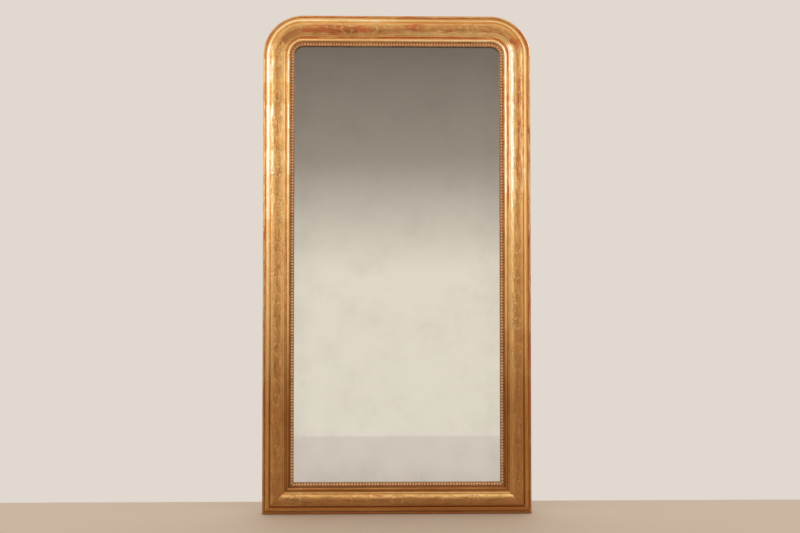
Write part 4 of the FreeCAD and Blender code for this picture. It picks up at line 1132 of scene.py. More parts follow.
# Painted highlights and shade: the shine touches darken the leaf low down, on the foot, on the head, on the
# left stile's inner part, on the right torus and on the lower right. They brighten it on the foot's shelf
# and astragal, on the head's lower torus and bead, and on the right stile's upper frieze crown. The toning
# touches low down and on the head's inner frieze paint shade as well. Flecks, smears and the rubbed
# stretches are wear.
TOUCHES = (
    Touch(("low",), shine_and_painted_light=-0.32, toned=0.14),
    Touch(("flecks",), shine_and_painted_light=0.70),
    Touch(("frieze", "smears"), toned=0.30),
    Touch(("foot",), shine_and_painted_light=-0.30),
    Touch(("foot", "torus_inner"), shine_and_painted_light=-0.60),
    Touch(("foot", "shelf"), shine_and_painted_light=0.55),
    Touch(("foot", "astragal"), shine_and_painted_light=0.36, toned=-0.20),
    Touch(("head",), shine_and_painted_light=-0.28),
    Touch(("head", "torus_inner"), shine_and_painted_light=0.22),
    Touch(("head", "frieze", "stretches"), rubbed=0.65),
    Touch(("head", "frieze_fall"), shine_and_painted_light=-0.12, rubbed=0.25, toned=0.34),
    Touch(("head", "bead_fall"), shine_and_painted_light=0.30),
    Touch(("left", "inner_part"), shine_and_painted_light=-0.16),
    Touch(("right", "torus"), shine_and_painted_light=-0.27),
    Touch(("right", "upper", "torus_outer"), shine_and_painted_light=-0.50),
    Touch(("right", "upper", "frieze_edge"), shine_and_painted_light=-0.15),
    Touch(("right", "well_above", "frieze_rise", "stretches"), rubbed=0.60),
    Touch(("right", "above_middle", "frieze_crown"), shine_and_painted_light=0.34),
    Touch(("right", "below_middle", "above_foot", "rim"), rubbed=0.45),
    Touch(("right", "below_middle", "frieze_outer"), shine_and_painted_light=-0.26),
    Touch(("right", "below_middle", "bead"), shine_and_painted_light=-0.26),
    Touch(("brown", "groove"), rubbed=-0.75),
    Touch(("brown", "groove", "low"), toned=0.10),
)


def leaf_bands():
    """Gives bands across the moulding, by where each begins, is full, starts to fade and ends."""
    at = edges()
    torus, middle, ridge, bead = at.torus_crest, at.frieze_middle, at.astragal_crest, at.bead_crest
    return {
        "rim": (-0.002, -0.001, at.rim_quirk, at.torus),
        "torus": (torus - 0.0095, torus - 0.0075, torus + 0.0075, torus + 0.0095),
        "torus_outer": (at.torus - 0.001, at.torus + 0.001, torus - 0.003, torus),
        "torus_inner": (torus - 0.0015, torus + 0.0015, at.cove, at.frieze),
        "frieze": (middle - 0.020, middle - 0.012, middle + 0.012, middle + 0.020),
        "frieze_edge": (at.frieze, at.frieze + 0.004, middle - 0.011, middle - 0.005),
        "frieze_outer": (at.cove, at.frieze, middle - 0.010, middle - 0.004),
        "frieze_rise": (at.cove, at.frieze, middle - 0.006, middle + 0.004),
        "frieze_crown": (middle - 0.006, middle + 0.005, middle + 0.019, middle + 0.022),
        "frieze_fall": (middle - 0.004, middle + 0.006, at.groove - 0.003, at.groove),
        "shelf": (middle - 0.0005, middle + 0.011, middle + 0.013, middle + 0.0245),
        "inner_part": (middle + 0.006, middle + 0.012, at.face + 0.001, at.face + 0.002),
        "astragal": (ridge - 0.0040, ridge - 0.0026, ridge + 0.0026, ridge + 0.0040),
        "groove": (at.groove - 0.001, at.groove + 0.001, at.bead, at.bead + 0.002),
        "bead": (bead - 0.0062, bead - 0.0046, bead + 0.0046, bead + 0.0062),
        "bead_fall": (bead, bead + 0.002, at.bead_quirk, at.bead_quirk + 0.001),
    }


def leaf_masks(nodes, across, spot, noise):
    """Gives the leaf's masks by name: bands of the moulding, parts of the frame and patterns of wear."""
    x, _, z = nodes.axes(spot)
    masks = {name: nodes.band(across, *places) for name, places in leaf_bands().items()}
    masks.update({name: nodes.span(z, *levels) for name, levels in HEIGHTS.items()})
    masks.update({name: nodes.span(noise[name], *levels) for name, levels in LEVELS.items()})
    past_mitre = nodes.maths("SUBTRACT", nodes.maths("SUBTRACT", HALF, nodes.maths("ABSOLUTE", x)), z)
    mitre_gap = nodes.maths("ABSOLUTE", past_mitre)
    masks["foot"] = nodes.span(past_mitre, *FOOT_SOFT)
    masks["mitre"] = nodes.span(mitre_gap, *MITRE_WORN)
    masks["crack"] = nodes.span(mitre_gap, *MITRE_CRACK)
    masks["right"] = nodes.span(x, *RIGHT_SOFT)
    masks["left"] = nodes.rest(masks["right"])
    left_stile = nodes.rest(nodes.most(masks["right"], masks["head"]))
    masks["brown"] = nodes.most(left_stile, masks["browned"])
    return masks


def leaf_profile(nodes, across):
    """Gives how toned, rubbed and burnished the leaf is across the moulding."""
    part = sizes("mirror_section")
    at = edges()
    middle = at.frieze_middle
    shoulder = part.frieze_width / 5
    rows = (
        (0.0, 0.05, 0.80, 0.50),
        (part.rim_round, 0.05, 0.85, 0.50),
        (at.rim_quirk - 0.001, 0.08, 0.95, 0.42),
        (at.rim_quirk + 0.0004, 0.14, 0.75, 0.42),
        (at.torus - 0.0004, 0.14, 0.40, 0.50),
        (at.torus + 0.002, 0.0, 0.12, 0.75),
        (at.torus_crest, 0.0, 0.0, 1.0),
        (at.cove - 0.003, 0.0, 0.10, 1.0),
        (at.cove, 0.0, 0.30, 0.90),
        (at.frieze - 0.0005, 0.0, 0.35, 0.85),
        (at.frieze + 0.001, 0.02, 0.40, 0.85),
        (at.frieze + 0.006, 0.02, 0.35, 0.72),
        (middle - shoulder, 0.12, 0.50, 0.34),
        (middle, 0.24, 0.58, 0.16),
        (middle + shoulder, 0.12, 0.50, 0.34),
        (at.astragal - 0.006, 0.02, 0.38, 0.75),
        (at.astragal - 0.001, 0.02, 0.40, 0.85),
        (at.astragal + 0.0002, 0.12, 0.45, 0.60),
        (at.astragal_crest, 0.0, 0.30, 0.90),
        (at.groove, 0.05, 0.85, 0.60),
        (at.groove + 0.001, 0.08, 1.15, 0.50),
        (at.bead - 0.0007, 0.08, 1.10, 0.50),
        (at.bead + 0.0012, 0.0, 0.30, 0.80),
        (at.bead_crest, 0.0, 0.05, 1.0),
        (at.bead_quirk - 0.0015, 0.0, 0.10, 0.95),
        (at.bead_quirk - 0.0002, 0.05, 0.10, 0.80),
        (at.bead_quirk + 0.0004, 0.36, 0.10, 0.50),
        (at.pearls, 0.45, 0.10, 0.30),
        (at.face, 0.35, 0.40, 0.30),
    )
    position = nodes.maths("DIVIDE", across, at.face)
    return [nodes.ramp(position, [(row[0] / at.face, row[column]) for row in rows]) for column in (1, 2, 3)]


def touch_up(nodes, masks, kind, value):
    """Adds what the touches of one kind change."""
    for touch in TOUCHES:
        amount = getattr(touch, kind)
        if amount:
            where = nodes.times(*(masks[name] for name in touch.where))
            value = nodes.scaled(where, amount, value)
    return value


def vine_masks(nodes, masks):
    """Gives the vine's lines and its burnished insides, in the stretches where they aren't worn away, mostly
    faded under the painted highlight on the right stile's upper frieze crown.
    """
    # The right stile's upper frieze crown carries a painted highlight, under which the vine fades.
    bright = nodes.times(masks["right"], masks["above_middle"], masks["frieze_crown"])
    shown = nodes.times(masks["kept"], nodes.scaled(bright, -0.8, 1.0))
    return [nodes.times(shown, nodes.attribute(name)) for name in ("incised", "burnished")]


def leaf_laps(nodes, along, jitter):
    """Gives each gold leaf's own tone, and the laps between leaves."""
    leaves = nodes.scaled(jitter, LAP_WANDER, nodes.maths("DIVIDE", along, LEAF_PITCH))
    number = nodes.maths("FLOOR", leaves)
    tone = nodes.add("ShaderNodeTexWhiteNoise", {"W": number}, noise_dimensions="1D").outputs[0]
    return tone, nodes.span(nodes.maths("PINGPONG", leaves, 0.5), *LAP_LINE)


def leaf_shine_and_painted_light(nodes, masks, noise, burnish, tone, lap):
    """Gives how bright the leaf is, from 0 to 1: mottled where it is matt, and touched up by place with
    painted highlights and painted shade.
    """
    mottle = nodes.plus(nodes.scaled(noise["cloud"], 2.4, -1.2), nodes.scaled(noise["streaks"], 0.9, -0.45))
    matt = nodes.scaled(burnish, -0.75, 1.0)
    shine_and_painted_light = nodes.plus(
        touch_up(nodes, masks, "shine_and_painted_light", burnish), nodes.times(mottle, matt),
        nodes.scaled(tone, 0.16, -0.08), nodes.times(lap, 0.10))
    return nodes.maths("ADD", shine_and_painted_light, 0.0, clamp=True)


def leaf_tints(nodes, masks, shine_and_painted_light, burnish, inside):
    """Gives the leaf's colour by its shine: a painted highlight of pale leaf high on the stiles, and painted
    shade of amber towards the foot.
    """
    colour = sizes("mirror_finishes")
    lower, foot, bead = masks["lower"], masks["foot"], masks["bead"]
    tints = nodes.ramp(shine_and_painted_light, (
        (0.0, colour.dull_gold), (0.5, colour.gold), (0.85, colour.bright_gold), (1.0, colour.pale_gold)))
    # Painted highlight: the brightest leaf high on the stiles turns paler, less so on the right bead.
    glint = nodes.times(
        masks["glinting"], nodes.rest(masks["head"]), nodes.span(shine_and_painted_light, 0.72, 1.0, 0.0, 0.75),
        nodes.scaled(nodes.times(masks["right"], bead), -0.7, 1.0))
    tints = nodes.mix(glint, tints, colour.painted_highlight_gold)
    tints = nodes.mix(nodes.times(inside, nodes.scaled(lower, -0.35, 0.60)), tints, colour.vine_gold)
    # The painted amber shade spares the foot's brightest parts and lies twice on the bead, thinly at the
    # foot.
    outside_torus = nodes.scaled(masks["torus_inner"], -0.35, 0.35)
    spared = nodes.times(foot, nodes.most(masks["shelf"], masks["astragal"], outside_torus))
    painted_lower_shade = nodes.times(lower, nodes.scaled(burnish, 0.7, 0.3), nodes.rest(spared))
    tints = nodes.mix(painted_lower_shade, tints, colour.painted_lower_shade, "MULTIPLY")
    second = nodes.times(lower, bead, nodes.scaled(foot, -0.7, 1.0))
    return nodes.mix(second, tints, colour.painted_bead_shade, "MULTIPLY")


def gilding():
    """Water gilding over red bole: leaf laps, rubbed bole, toned hollows and the incised vine, with painted
    highlights and painted shade on the leaf.
    """
    colour = sizes("mirror_finishes")
    material, nodes, shader = new_material("water_gilding")
    chart = nodes.add("ShaderNodeUVMap", uv_map="run").outputs[0]
    spot = nodes.spot()
    along, across, _ = nodes.axes(chart)
    noise = {name: nodes.noise(nodes.stretch(chart, (fine_along, fine_across, 1.0)), 1.0, detail, rough)
             for name, (fine_along, fine_across, detail, rough) in PATTERNS.items()}
    masks = leaf_masks(nodes, across, spot, noise)
    hollow, proud, burnish = leaf_profile(nodes, across)
    incised, inside = vine_masks(nodes, masks)
    # Rubbing and toning spare the burnished insides of leaves and petals.
    spared = nodes.scaled(inside, -0.65, 1.0)
    proud = nodes.most(proud, nodes.times(masks["mitre"], MITRE_RUBBED))
    patches = nodes.use("rubbed_patches", vector=nodes.stretch(chart, (13.0, 150.0, 1.0)), amount=0.17,
                        proud=touch_up(nodes, masks, "rubbed", proud))
    rubbed = nodes.times(patches["Mask"], spared)
    # The toning touches add painted shade, low down and on the head's inner frieze, to the dirt in the
    # hollows.
    grime = nodes.use("settled_grime", vector=spot, hollow=touch_up(nodes, masks, "toned", hollow))
    veil = nodes.times(grime["Veil"], spared, 0.72)
    tone, lap = leaf_laps(nodes, along, noise["jitter"])
    shine_and_painted_light = leaf_shine_and_painted_light(nodes, masks, noise, burnish, tone, lap)
    worn = nodes.mix(
        nodes.times(rubbed, 0.85), leaf_tints(nodes, masks, shine_and_painted_light, burnish, inside), colour.bole)
    toned = nodes.mix(veil, worn, colour.toning_and_painted_shade)
    toned = nodes.mix(nodes.times(incised, 0.6), toned, colour.vine_line)
    # Painted shadow: the sight edge is dark toning under the head and a lighter brown below it; the mitres'
    # crack and the specks are real dark marks.
    sight = nodes.span(across, edges().face - 0.0009, edges().face - 0.0003)
    dark = nodes.most(masks["crack"], sight, nodes.times(grime["Specks"], 0.4))
    shade = nodes.mix(nodes.times(sight, masks["below_head"]), colour.toning_and_painted_shade, colour.sight)
    nodes.feed(shader["Base Color"], nodes.mix(dark, toned, shade))
    shader["Specular IOR Level"].default_value = 0.16
    cover = nodes.most(nodes.times(rubbed, 0.6), veil, nodes.times(incised, 0.5), dark)
    nodes.feed(shader["Metallic"], nodes.rest(cover))
    rough = nodes.blend(rubbed, nodes.span(shine_and_painted_light, 0.0, 1.0, 0.52, 0.34), 0.5)
    nodes.feed(shader["Roughness"], nodes.blend(veil, rough, 0.62))
    skin = nodes.plus(nodes.times(rubbed, -0.5), nodes.times(lap, 0.25),
                      nodes.times(nodes.noise(spot, 900.0, 3.0), 0.3))
    nodes.feed(shader["Normal"], nodes.bump(skin, 0.5, 0.00012, nodes.bump(noise["sway"], 0.30, 0.0014)))
    return material


def pearl_gilding():
    """Thin leaf on the pearls, rubbed to the bole on their crowns and toned at their feet."""
    colour = sizes("mirror_finishes")
    part = sizes("mirror_pearls")
    material, nodes, shader = new_material("pearl_gilding")
    spot = nodes.spot()
    _, y, z = nodes.axes(spot)
    rise = nodes.scaled(y, -1.0, -strip_depth())
    crown = nodes.span(rise, 0.0004, 0.8 * part.radius)
    rubbed = nodes.use("rubbed_patches", vector=nodes.stretch(spot, (60.0, 60.0, 60.0)),
                       proud=crown, amount=0.26)["Mask"]
    grime = nodes.use("settled_grime", vector=spot, hollow=nodes.scaled(crown, -0.70, 0.70))
    veil = nodes.times(grime["Veil"], 0.85)
    cloud = nodes.noise(nodes.stretch(spot, (24.0, 24.0, 24.0)), 1.0, 4.0)
    leaf_colour = nodes.mix(nodes.span(cloud, 0.3, 0.7), colour.dull_gold, colour.gold)
    worn = nodes.mix(nodes.times(rubbed, 0.85), leaf_colour, colour.pearl_bole)
    toned = nodes.mix(veil, worn, colour.pearl_toning)
    # Painted shadow: the pearls' sight edge is dark toning under the head and a lighter brown below it.
    sight = nodes.span(rise, -0.0002, -0.0010)
    shade = nodes.mix(nodes.span(z, *HEIGHTS["below_head"]), colour.toning_and_painted_shade, colour.sight)
    nodes.feed(shader["Base Color"], nodes.mix(sight, toned, shade))
    nodes.feed(shader["Metallic"], nodes.rest(nodes.most(nodes.times(rubbed, 0.65), veil, sight)))
    nodes.feed(shader["Roughness"], nodes.blend(grime["Veil"], 0.40, 0.62))
    shader["Specular IOR Level"].default_value = 0.3
    nodes.feed(shader["Normal"], nodes.bump(nodes.noise(spot, 700.0, 3.0), 0.4, 0.0002))
    return material


# Wood. Shift of the grain from one board to the next, and roughness of bare and of washed wood.
BOARD_SHIFT = (1.37, 0.71, 2.93)
BARE_ROUGH = 0.74
WASHED_ROUGH = 0.6


def pine(name, upright, washed=False):
    """Aged pine, its grain upright or level, and its outer edges washed with ochre if wanted."""
    colour = sizes("mirror_finishes")
    material, nodes, shader = new_material(name)
    coordinates = nodes.add("ShaderNodeTexCoord").outputs
    spot = coordinates["Object"]
    turned = spot
    if not upright:
        x, y, z = nodes.axes(spot)
        turned = nodes.add("ShaderNodeCombineXYZ", {0: z, 1: y, 2: x}).outputs[0]
    board = nodes.attribute("board")
    turned = nodes.add("ShaderNodeVectorMath", {0: board, 1: BOARD_SHIFT, 2: turned},
                       operation="MULTIPLY_ADD").outputs[0]
    grain = nodes.use("plank_grain", vector=turned)
    grime = nodes.use("settled_grime", vector=spot, hollow=0.12)
    wood = nodes.mix(nodes.times(grain["Late wood"], 0.62), colour.pine, colour.late_wood)
    wood = nodes.mix(nodes.span(grain["Fibre"], 0.35, 0.75, 0.0, 0.4), wood, colour.late_wood)
    wood = nodes.mix(nodes.times(grain["Knots"], 0.85), wood, colour.knot)
    wood = nodes.mix(nodes.times(grain["Stain"], 0.45), wood, colour.late_wood)
    tone = nodes.maths("FRACT", nodes.times(board, 0.618))
    wood = nodes.add("ShaderNodeHueSaturation", {
        "Value": nodes.scaled(tone, 0.34, 0.86), "Color": wood}).outputs[0]
    wood = nodes.mix(nodes.times(grime["Veil"], 0.5), wood, colour.dust)
    rough = BARE_ROUGH
    if washed:
        facing = nodes.maths("ABSOLUTE", nodes.axes(coordinates["Normal"])[1])
        bare = nodes.use("rubbed_patches", vector=nodes.stretch(spot, (18.0, 40.0, 18.0)),
                         proud=0.5, amount=0.2)["Mask"]
        wash = nodes.mix(nodes.noise(spot, 16.0, 4.0), colour.ochre, colour.wash_shade)
        painted = nodes.times(nodes.span(facing, 0.75, 0.35), nodes.scaled(bare, -0.8, 1.0))
        wood = nodes.mix(painted, wood, wash)
        rough = nodes.blend(painted, BARE_ROUGH, WASHED_ROUGH)
    nodes.feed(shader["Base Color"], wood)
    nodes.feed(shader["Roughness"], rough)
    relief = nodes.scaled(grain["Late wood"], 0.5, grain["Fibre"])
    nodes.feed(shader["Normal"], nodes.bump(relief, 0.4, 0.0004))
    return material


def end_grain():
    """Oak pegs, cut flush: dark end grain with pores."""
    colour = sizes("mirror_finishes")
    material, nodes, shader = new_material("oak_end_grain")
    spot = nodes.spot()
    pores = nodes.noise(nodes.stretch(spot, (900.0, 60.0, 900.0)), 1.0, 3.0, 0.6)
    grime = nodes.use("settled_grime", vector=spot, hollow=0.3)
    wood = nodes.mix(nodes.span(pores, 0.4, 0.65), colour.oak, colour.knot)
    nodes.feed(shader["Base Color"], nodes.mix(nodes.times(grime["Veil"], 0.4), wood, colour.dust))
    nodes.feed(shader["Roughness"], nodes.span(pores, 0.3, 0.7, 0.6, 0.8))
    nodes.feed(shader["Normal"], nodes.bump(pores, 0.4, 0.0003))
    return material


# Plate and metal. Width of the plate's edge where its foxing gathers.
FOXED_EDGE = 0.10


def silvered_plate():
    """Old silvered glass: faintly wavy, with foxing that gathers at its edges."""
    colour = sizes("mirror_finishes")
    face = edges().face
    material, nodes, shader = new_material("silvered_plate")
    spot = nodes.spot()
    x, _, z = nodes.axes(spot)
    aside = nodes.maths("SUBTRACT", HALF - face, nodes.maths("ABSOLUTE", x))
    below = nodes.maths("SUBTRACT", HEIGHT - face, z)
    near = nodes.span(nodes.least(aside, nodes.maths("SUBTRACT", z, face), below), FOXED_EDGE, 0.0)
    cells = nodes.noise(spot, 150.0, 5.0, 0.7)
    drift = nodes.noise(spot, 9.0, 4.0, 0.6)
    gather = nodes.scaled(near, 0.13, nodes.scaled(drift, 0.18, -0.09))
    spots = nodes.span(nodes.plus(cells, gather), 0.76, 0.84)
    haze = nodes.span(nodes.scaled(near, 0.2, drift), 0.4, 0.9)
    silver = nodes.mix(nodes.times(haze, 0.12), colour.silver, colour.foxing)
    nodes.feed(shader["Base Color"], nodes.mix(nodes.times(spots, 0.75), silver, colour.foxing))
    shader["Metallic"].default_value = 1.0
    nodes.feed(shader["Roughness"], nodes.scaled(spots, 0.3, nodes.scaled(haze, 0.05, 0.015)))
    wave = nodes.noise(nodes.stretch(spot, (2.6, 2.6, 1.7)), 1.0, 1.0, 0.4)
    nodes.feed(shader["Normal"], nodes.bump(wave, 0.06, 0.004))
    return material


def old_metal(name, metal, shade, rough):
    """Forged or cut metal with rust in its pores."""
    colour = sizes("mirror_finishes")
    material, nodes, shader = new_material(name)
    spot = nodes.spot()
    patches = nodes.use("rubbed_patches", vector=nodes.stretch(spot, (110.0, 110.0, 110.0)),
                        proud=0.5, amount=0.22)["Mask"]
    rusted = nodes.times(patches, 0.8)
    grime = nodes.use("settled_grime", vector=spot, hollow=0.25)
    bare = nodes.mix(nodes.noise(spot, 90.0, 4.0), metal, shade)
    rusty = nodes.mix(rusted, bare, colour.rust)
    nodes.feed(shader["Base Color"], nodes.mix(nodes.times(grime["Specks"], 0.6), rusty, colour.knot))
    nodes.feed(shader["Metallic"], nodes.rest(rusted))
    nodes.feed(shader["Roughness"], nodes.blend(patches, rough, 0.8))
    nodes.feed(shader["Normal"], nodes.bump(nodes.noise(spot, 420.0, 4.0), 0.5, 0.0003))
    return material


def finish_nodes(material, *names):
    """Gives carried-over parts of the frame their finish."""
    for name in names:
        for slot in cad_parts[name].material_slots:
            slot.material = material


class MIRROR_OT_mouldings(bpy.types.Operator):
    """Model and gild the run mouldings and the two round corners"""

    bl_idname = "mirror.mouldings"
    bl_label = "Gilded mouldings"

    def execute(self, context):
        leaf_finish = gilding()
        for run in RUNS:
            piece = moulding_run(run)
            dress_moulding(piece, run_places(run, read_points(piece.data)))
            settle(piece, f"moulding_{run.name}", leaf_finish)
        for bend in BENDS:
            piece = moulding_bend(bend)
            dress_moulding(piece, bend_places(bend, read_points(piece.data)))
            settle(piece, f"moulding_{bend.name}", leaf_finish)
        return {"FINISHED"}


class MIRROR_OT_pearls(bpy.types.Operator):
    """Model the pearl strips of the sight edge"""

    bl_idname = "mirror.pearls"
    bl_label = "Pearl strips"

    def execute(self, context):
        finish = pearl_gilding()
        for run in RUNS:
            settle(pearl_run(run), f"bead_strip_{run.name}", finish)
        for bend in BENDS:
            settle(pearl_bend(bend), f"bead_strip_{bend.name}", finish)
        return {"FINISHED"}


class MIRROR_OT_woodwork(bpy.types.Operator):
    """Finish the base frame, the panelled back and their small woodwork"""

    bl_idname = "mirror.woodwork"
    bl_label = "Woodwork"

    def execute(self, context):
        packing = pine("packing_pine", True)
        boards = (
            ("base_wood", pine("washed_pine_upright", True, True), ("base_stile_left", "base_stile_right")),
            ("base_wood", pine("washed_pine_level", False, True), ("base_rail_top", "base_rail_bottom")),
            ("back_wood", pine("aged_pine_upright", True),
             ("back_stile_left", "back_stile_right", "back_panel_upper", "back_panel_middle",
              "back_panel_lower")),
            ("back_wood", pine("aged_pine_level", False),
             ("back_rail_top", "back_rail_upper", "back_rail_lower", "back_rail_bottom")),
            ("packing_wood", packing, ("setting_blocks", "retaining_cleats")),
        )
        number = 0
        for slot, finish, nodes in boards:
            for node in nodes:
                number += 1
                settle(eased_copy(node, number), node, finish)
        finish_nodes(packing, "glass_wedges")
        finish_nodes(end_grain(), "lap_pegs", "tenon_pegs")
        return {"FINISHED"}


class MIRROR_OT_plate(bpy.types.Operator):
    """Finish the silvered plate"""

    bl_idname = "mirror.plate"
    bl_label = "Silvered plate"

    def execute(self, context):
        finish_nodes(silvered_plate(), "mirror_glass")
        return {"FINISHED"}


class MIRROR_OT_ironwork(bpy.types.Operator):
    """Finish the screws, the hanger straps and the rings"""

    bl_idname = "mirror.ironwork"
    bl_label = "Ironwork"

    def execute(self, context):
        colour = sizes("mirror_finishes")
        steel = old_metal("dull_steel", colour.steel, colour.iron, 0.42)
        iron = old_metal("forged_iron", colour.iron, colour.scale, 0.48)
        for node in ("moulding_screws", "cleat_screws", "hanger_screws"):
            settle(slotted_screws(node), node, steel)
        finish_nodes(iron, "hanger_plate_left", "hanger_plate_right", "hanger_ring_left",
                     "hanger_ring_right")
        return {"FINISHED"}


# Studio. Soft boxes by name, with their place, what they face, their width and their height.
SOFT_BOXES = {
    "left": ((-2.2, -0.9, 1.75), (0.0, 0.0, 1.3), 0.9, 1.3),
    "right": ((2.2, -0.9, 1.75), (0.0, 0.0, 1.3), 0.9, 1.3),
    "near_left": ((-0.98, -2.0, 1.55), (0.0, 0.0, 1.3), 0.5, 1.2),
    "near_right": ((0.98, -2.0, 1.55), (0.0, 0.0, 1.3), 0.5, 1.2),
    "overhead": ((0.0, -1.9, 3.1), (0.0, 0.0, 1.0), 2.6, 1.1),
    "front": ((0.0, -3.0, 2.0), (0.0, 0.0, 1.5), 1.8, 0.5),
    "behind": ((1.6, 1.3, 2.5), (0.0, 0.0, 0.9), 1.0, 1.0),
}
# Colours of the light from below to above, of what metal shows, and of what lies ahead of the plate.
AMBIENT = ((-1.0, (0.50, 0.47, 0.43)), (0.0, (0.85, 0.82, 0.78)), (1.0, (1.15, 1.12, 1.07)))
AROUND = ((-1.0, (0.34, 0.28, 0.22)), (-0.3, (0.38, 0.32, 0.26)), (-0.1, (0.46, 0.40, 0.33)),
          (0.05, (0.60, 0.55, 0.48)), (0.35, (0.70, 0.66, 0.60)), (1.0, (0.95, 0.92, 0.88)))
AHEAD = ((-1.0, (0.34, 0.27, 0.21)), (-0.25, (0.80, 0.755, 0.66)), (0.02, (0.82, 0.77, 0.66)),
         (0.09, (0.52, 0.475, 0.41)), (0.13, (0.34, 0.295, 0.25)), (0.235, (0.20, 0.168, 0.138)),
         (0.4, (0.26, 0.23, 0.20)), (0.7, (0.8, 0.78, 0.75)))
# Directions, to the sides and forwards, at which what lies ahead fades out and in.
AHEAD_ASIDE = (0.26, 0.14)
AHEAD_FORWARD = (0.0, -0.3)
# The shown floor ends in a line straight ahead and fades over this length to the sides.
FLOOR_LINE = 0.01
FLOOR_ASIDE = (0.62, 1.2)
FLOOR_FADE = 2.6
# The stage's reach, its floor's depth below the mirror and its backdrop's height.
STAGE_REACH = 40.0
FLOOR_DEPTH = -0.0004
BACKDROP_HEIGHT = 4.0
SENSOR_WIDTH = 36.0


def spare_plate():
    """Gives the objects that the lamps leave out: the plate, which would show them, and the floor."""
    spared = bpy.data.collections.get("lamps_leave_out")
    if not spared:
        spared = bpy.data.collections.new("lamps_leave_out")
        for index, left_out in enumerate((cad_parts["mirror_glass"], bpy.data.objects["floor"])):
            spared.objects.link(left_out)
            spared.collection_objects[index].light_linking.link_state = "EXCLUDE"
    return spared


def soft_box(name, place, target, width, height):
    part = sizes("mirror_studio")
    lamp = bpy.data.lights.new(name, "AREA")
    lamp.shape = "RECTANGLE"
    lamp.size = width
    lamp.size_y = height
    lamp.energy = getattr(part, name)
    lamp.color = part.lamp
    light = bpy.data.objects.new(name, lamp)
    light.location = place
    light.rotation_euler = (Vector(target) - Vector(place)).to_track_quat("-Z", "Y").to_euler()
    light.light_linking.receiver_collection = spare_plate()
    bpy.context.collection.objects.link(light)


def surroundings():
    """A pale backdrop for the camera, and soft surroundings for the light and for what metal shows."""
    world = bpy.data.worlds.new("studio")
    world.use_nodes = True
    world.node_tree.nodes.clear()
    nodes = Nodes(world.node_tree)
    x, y, z = nodes.axes(nodes.add("ShaderNodeTexCoord").outputs["Generated"])
    lift = nodes.scaled(z, 0.5, 0.5)
    ambient, around, ahead = (
        nodes.ramp(lift, [((height + 1) / 2, colour) for height, colour in stops])
        for stops in (AMBIENT, AROUND, AHEAD)
    )
    faced = nodes.times(nodes.span(nodes.maths("ABSOLUTE", x), *AHEAD_ASIDE), nodes.span(y, *AHEAD_FORWARD))
    path = nodes.add("ShaderNodeLightPath").outputs
    light = nodes.mix(path["Is Glossy Ray"], ambient, nodes.mix(faced, around, ahead))
    shown = nodes.mix(path["Is Camera Ray"], light, sizes("mirror_studio").backdrop)
    background = nodes.add("ShaderNodeBackground", {"Color": shown, "Strength": 1.0})
    nodes.add("ShaderNodeOutputWorld", {"Surface": background.outputs[0]})
    bpy.context.scene.world = world


def plain_sheet(name, low, high):
    """A flat stage sheet with an empty material."""
    clear_selection()
    bpy.ops.mesh.primitive_plane_add(size=1.0)
    sheet = bpy.context.object
    sheet.name = name
    corners = ((low[0], low[1], low[2]), (high[0], low[1], low[2]), (low[0], high[1], high[2]),
               (high[0], high[1], high[2]))
    for vert, corner in zip(sheet.data.vertices, corners):
        vert.co = corner
    material, nodes, shader = new_material(name)
    sheet.data.materials.append(material)
    return nodes, shader


def mix_surface(nodes, factor, first, second):
    """Feeds the material's output with a mix of two shaders."""
    both = nodes.add("ShaderNodeMixShader", {0: factor, 1: first, 2: second}).outputs[0]
    output = next(node for node in nodes.tree.nodes if node.type == "OUTPUT_MATERIAL")
    nodes.feed(output.inputs["Surface"], both)


def floor_sheet(part):
    """A plain floor; the plate shows a paler one that ends some way in front of it."""
    nodes, shader = plain_sheet("floor", (-STAGE_REACH, -STAGE_REACH, FLOOR_DEPTH),
                                (STAGE_REACH, STAGE_REACH, FLOOR_DEPTH))
    mirrored = nodes.add("ShaderNodeLightPath").outputs["Is Glossy Ray"]
    nodes.feed(shader["Base Color"], nodes.mix(mirrored, part.floor, part.floor_shown))
    shader["Roughness"].default_value = 0.7
    x, y, _ = nodes.axes(nodes.spot())
    aside = nodes.span(nodes.maths("ABSOLUTE", x), *FLOOR_ASIDE)
    end = nodes.scaled(aside, FLOOR_FADE, part.floor_front + FLOOR_LINE)
    far = nodes.span(nodes.times(y, -1.0), part.floor_front, end)
    solid = nodes.tree.nodes["Principled BSDF"].outputs[0]
    clear = nodes.add("ShaderNodeBsdfTransparent").outputs[0]
    mix_surface(nodes, nodes.times(mirrored, far), solid, clear)


def backdrop_sheet(part):
    """A plain backdrop that only the camera sees, and only from its front."""
    nodes, _ = plain_sheet("backdrop", (-STAGE_REACH, part.floor_behind, FLOOR_DEPTH),
                           (STAGE_REACH, part.floor_behind, BACKDROP_HEIGHT))
    glow = nodes.add("ShaderNodeEmission", {"Color": paint(part.backdrop), "Strength": 1.0}).outputs[0]
    clear = nodes.add("ShaderNodeBsdfTransparent").outputs[0]
    seen = nodes.add("ShaderNodeLightPath").outputs["Is Camera Ray"]
    back = nodes.add("ShaderNodeNewGeometry").outputs["Backfacing"]
    mix_surface(nodes, nodes.times(seen, nodes.rest(back)), clear, glow)


def photo_camera(part):
    """Gives the camera at the photograph's viewing angle."""
    lens = bpy.data.cameras.new("camera")
    lens.lens = part.lens
    lens.sensor_width = SENSOR_WIDTH
    lens.clip_end = 3 * STAGE_REACH
    camera = bpy.data.objects.new("camera", lens)
    camera.location = (part.aside, -part.distance - SEAT, part.camera_height)
    camera.rotation_euler = (math.pi / 2 + part.pitch, 0.0, -part.turn)
    bpy.context.scene.collection.objects.link(camera)
    return camera


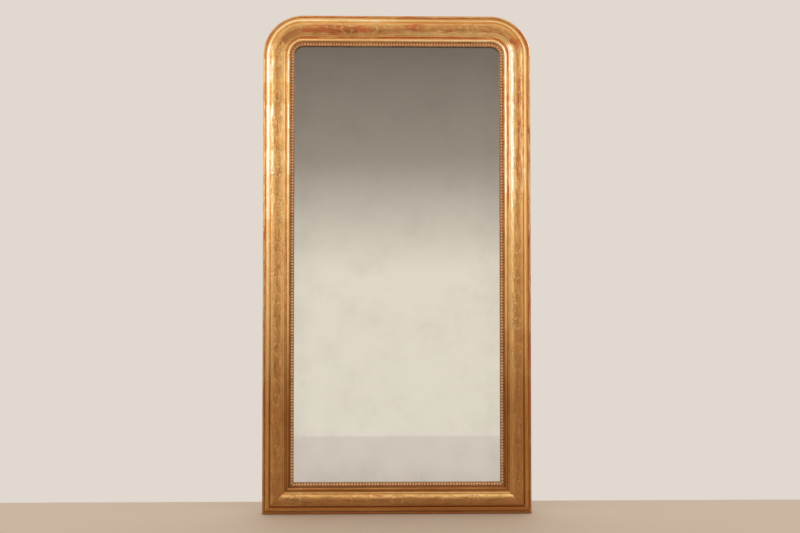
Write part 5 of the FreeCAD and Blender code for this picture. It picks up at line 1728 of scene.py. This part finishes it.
class MIRROR_OT_studio(bpy.types.Operator):
    """Set the floor, the backdrop, the lights and the camera"""

    bl_idname = "mirror.studio"
    bl_label = "Studio"

    def execute(self, context):
        part = sizes("mirror_studio")
        context.scene.view_settings.view_transform = "Standard"
        floor_sheet(part)
        backdrop_sheet(part)
        surroundings()
        for name, (place, target, width, height) in SOFT_BOXES.items():
            soft_box(name, place, target, width, height)
        context.scene.camera = photo_camera(part)
        return {"FINISHED"}


class MIRROR_PT_panel(bpy.types.Panel):
    """Lists the makers of the mirror's pieces and their sizes"""

    bl_idname = "MIRROR_PT_panel"
    bl_label = "Overmantel mirror"
    bl_space_type = "VIEW_3D"
    bl_region_type = "UI"
    bl_category = "Mirror"

    def draw(self, context):
        for operator in OPERATORS:
            self.layout.operator(operator.bl_idname)
        for name, group in GROUPS.items():
            box = self.layout.box()
            box.label(text=group.__doc__)
            for prop in group.__annotations__:
                box.prop(getattr(context.scene, name), prop)


GROUPS = {
    "mirror_section": SectionSizes,
    "mirror_vine": VineSizes,
    "mirror_pearls": PearlSizes,
    "mirror_boards": BoardSizes,
    "mirror_finishes": Finishes,
    "mirror_studio": StudioSizes,
}
OPERATORS = (
    MIRROR_OT_mouldings,
    MIRROR_OT_pearls,
    MIRROR_OT_woodwork,
    MIRROR_OT_plate,
    MIRROR_OT_ironwork,
    MIRROR_OT_studio,
)


def register():
    for name, group in GROUPS.items():
        bpy.utils.register_class(group)
        setattr(bpy.types.Scene, name, PointerProperty(type=group))
    for made in (*OPERATORS, MIRROR_PT_panel):
        bpy.utils.register_class(made)


def unregister():
    for made in (MIRROR_PT_panel, *reversed(OPERATORS)):
        bpy.utils.unregister_class(made)
    for name, group in reversed(GROUPS.items()):
        delattr(bpy.types.Scene, name)
        bpy.utils.unregister_class(group)


def main():
    register()
    rub_group()
    grime_group()
    grain_group()
    bpy.ops.mirror.mouldings()
    bpy.ops.mirror.pearls()
    bpy.ops.mirror.woodwork()
    bpy.ops.mirror.plate()
    bpy.ops.mirror.ironwork()
    bpy.ops.mirror.studio()


if __name__ == "__main__":
    main()
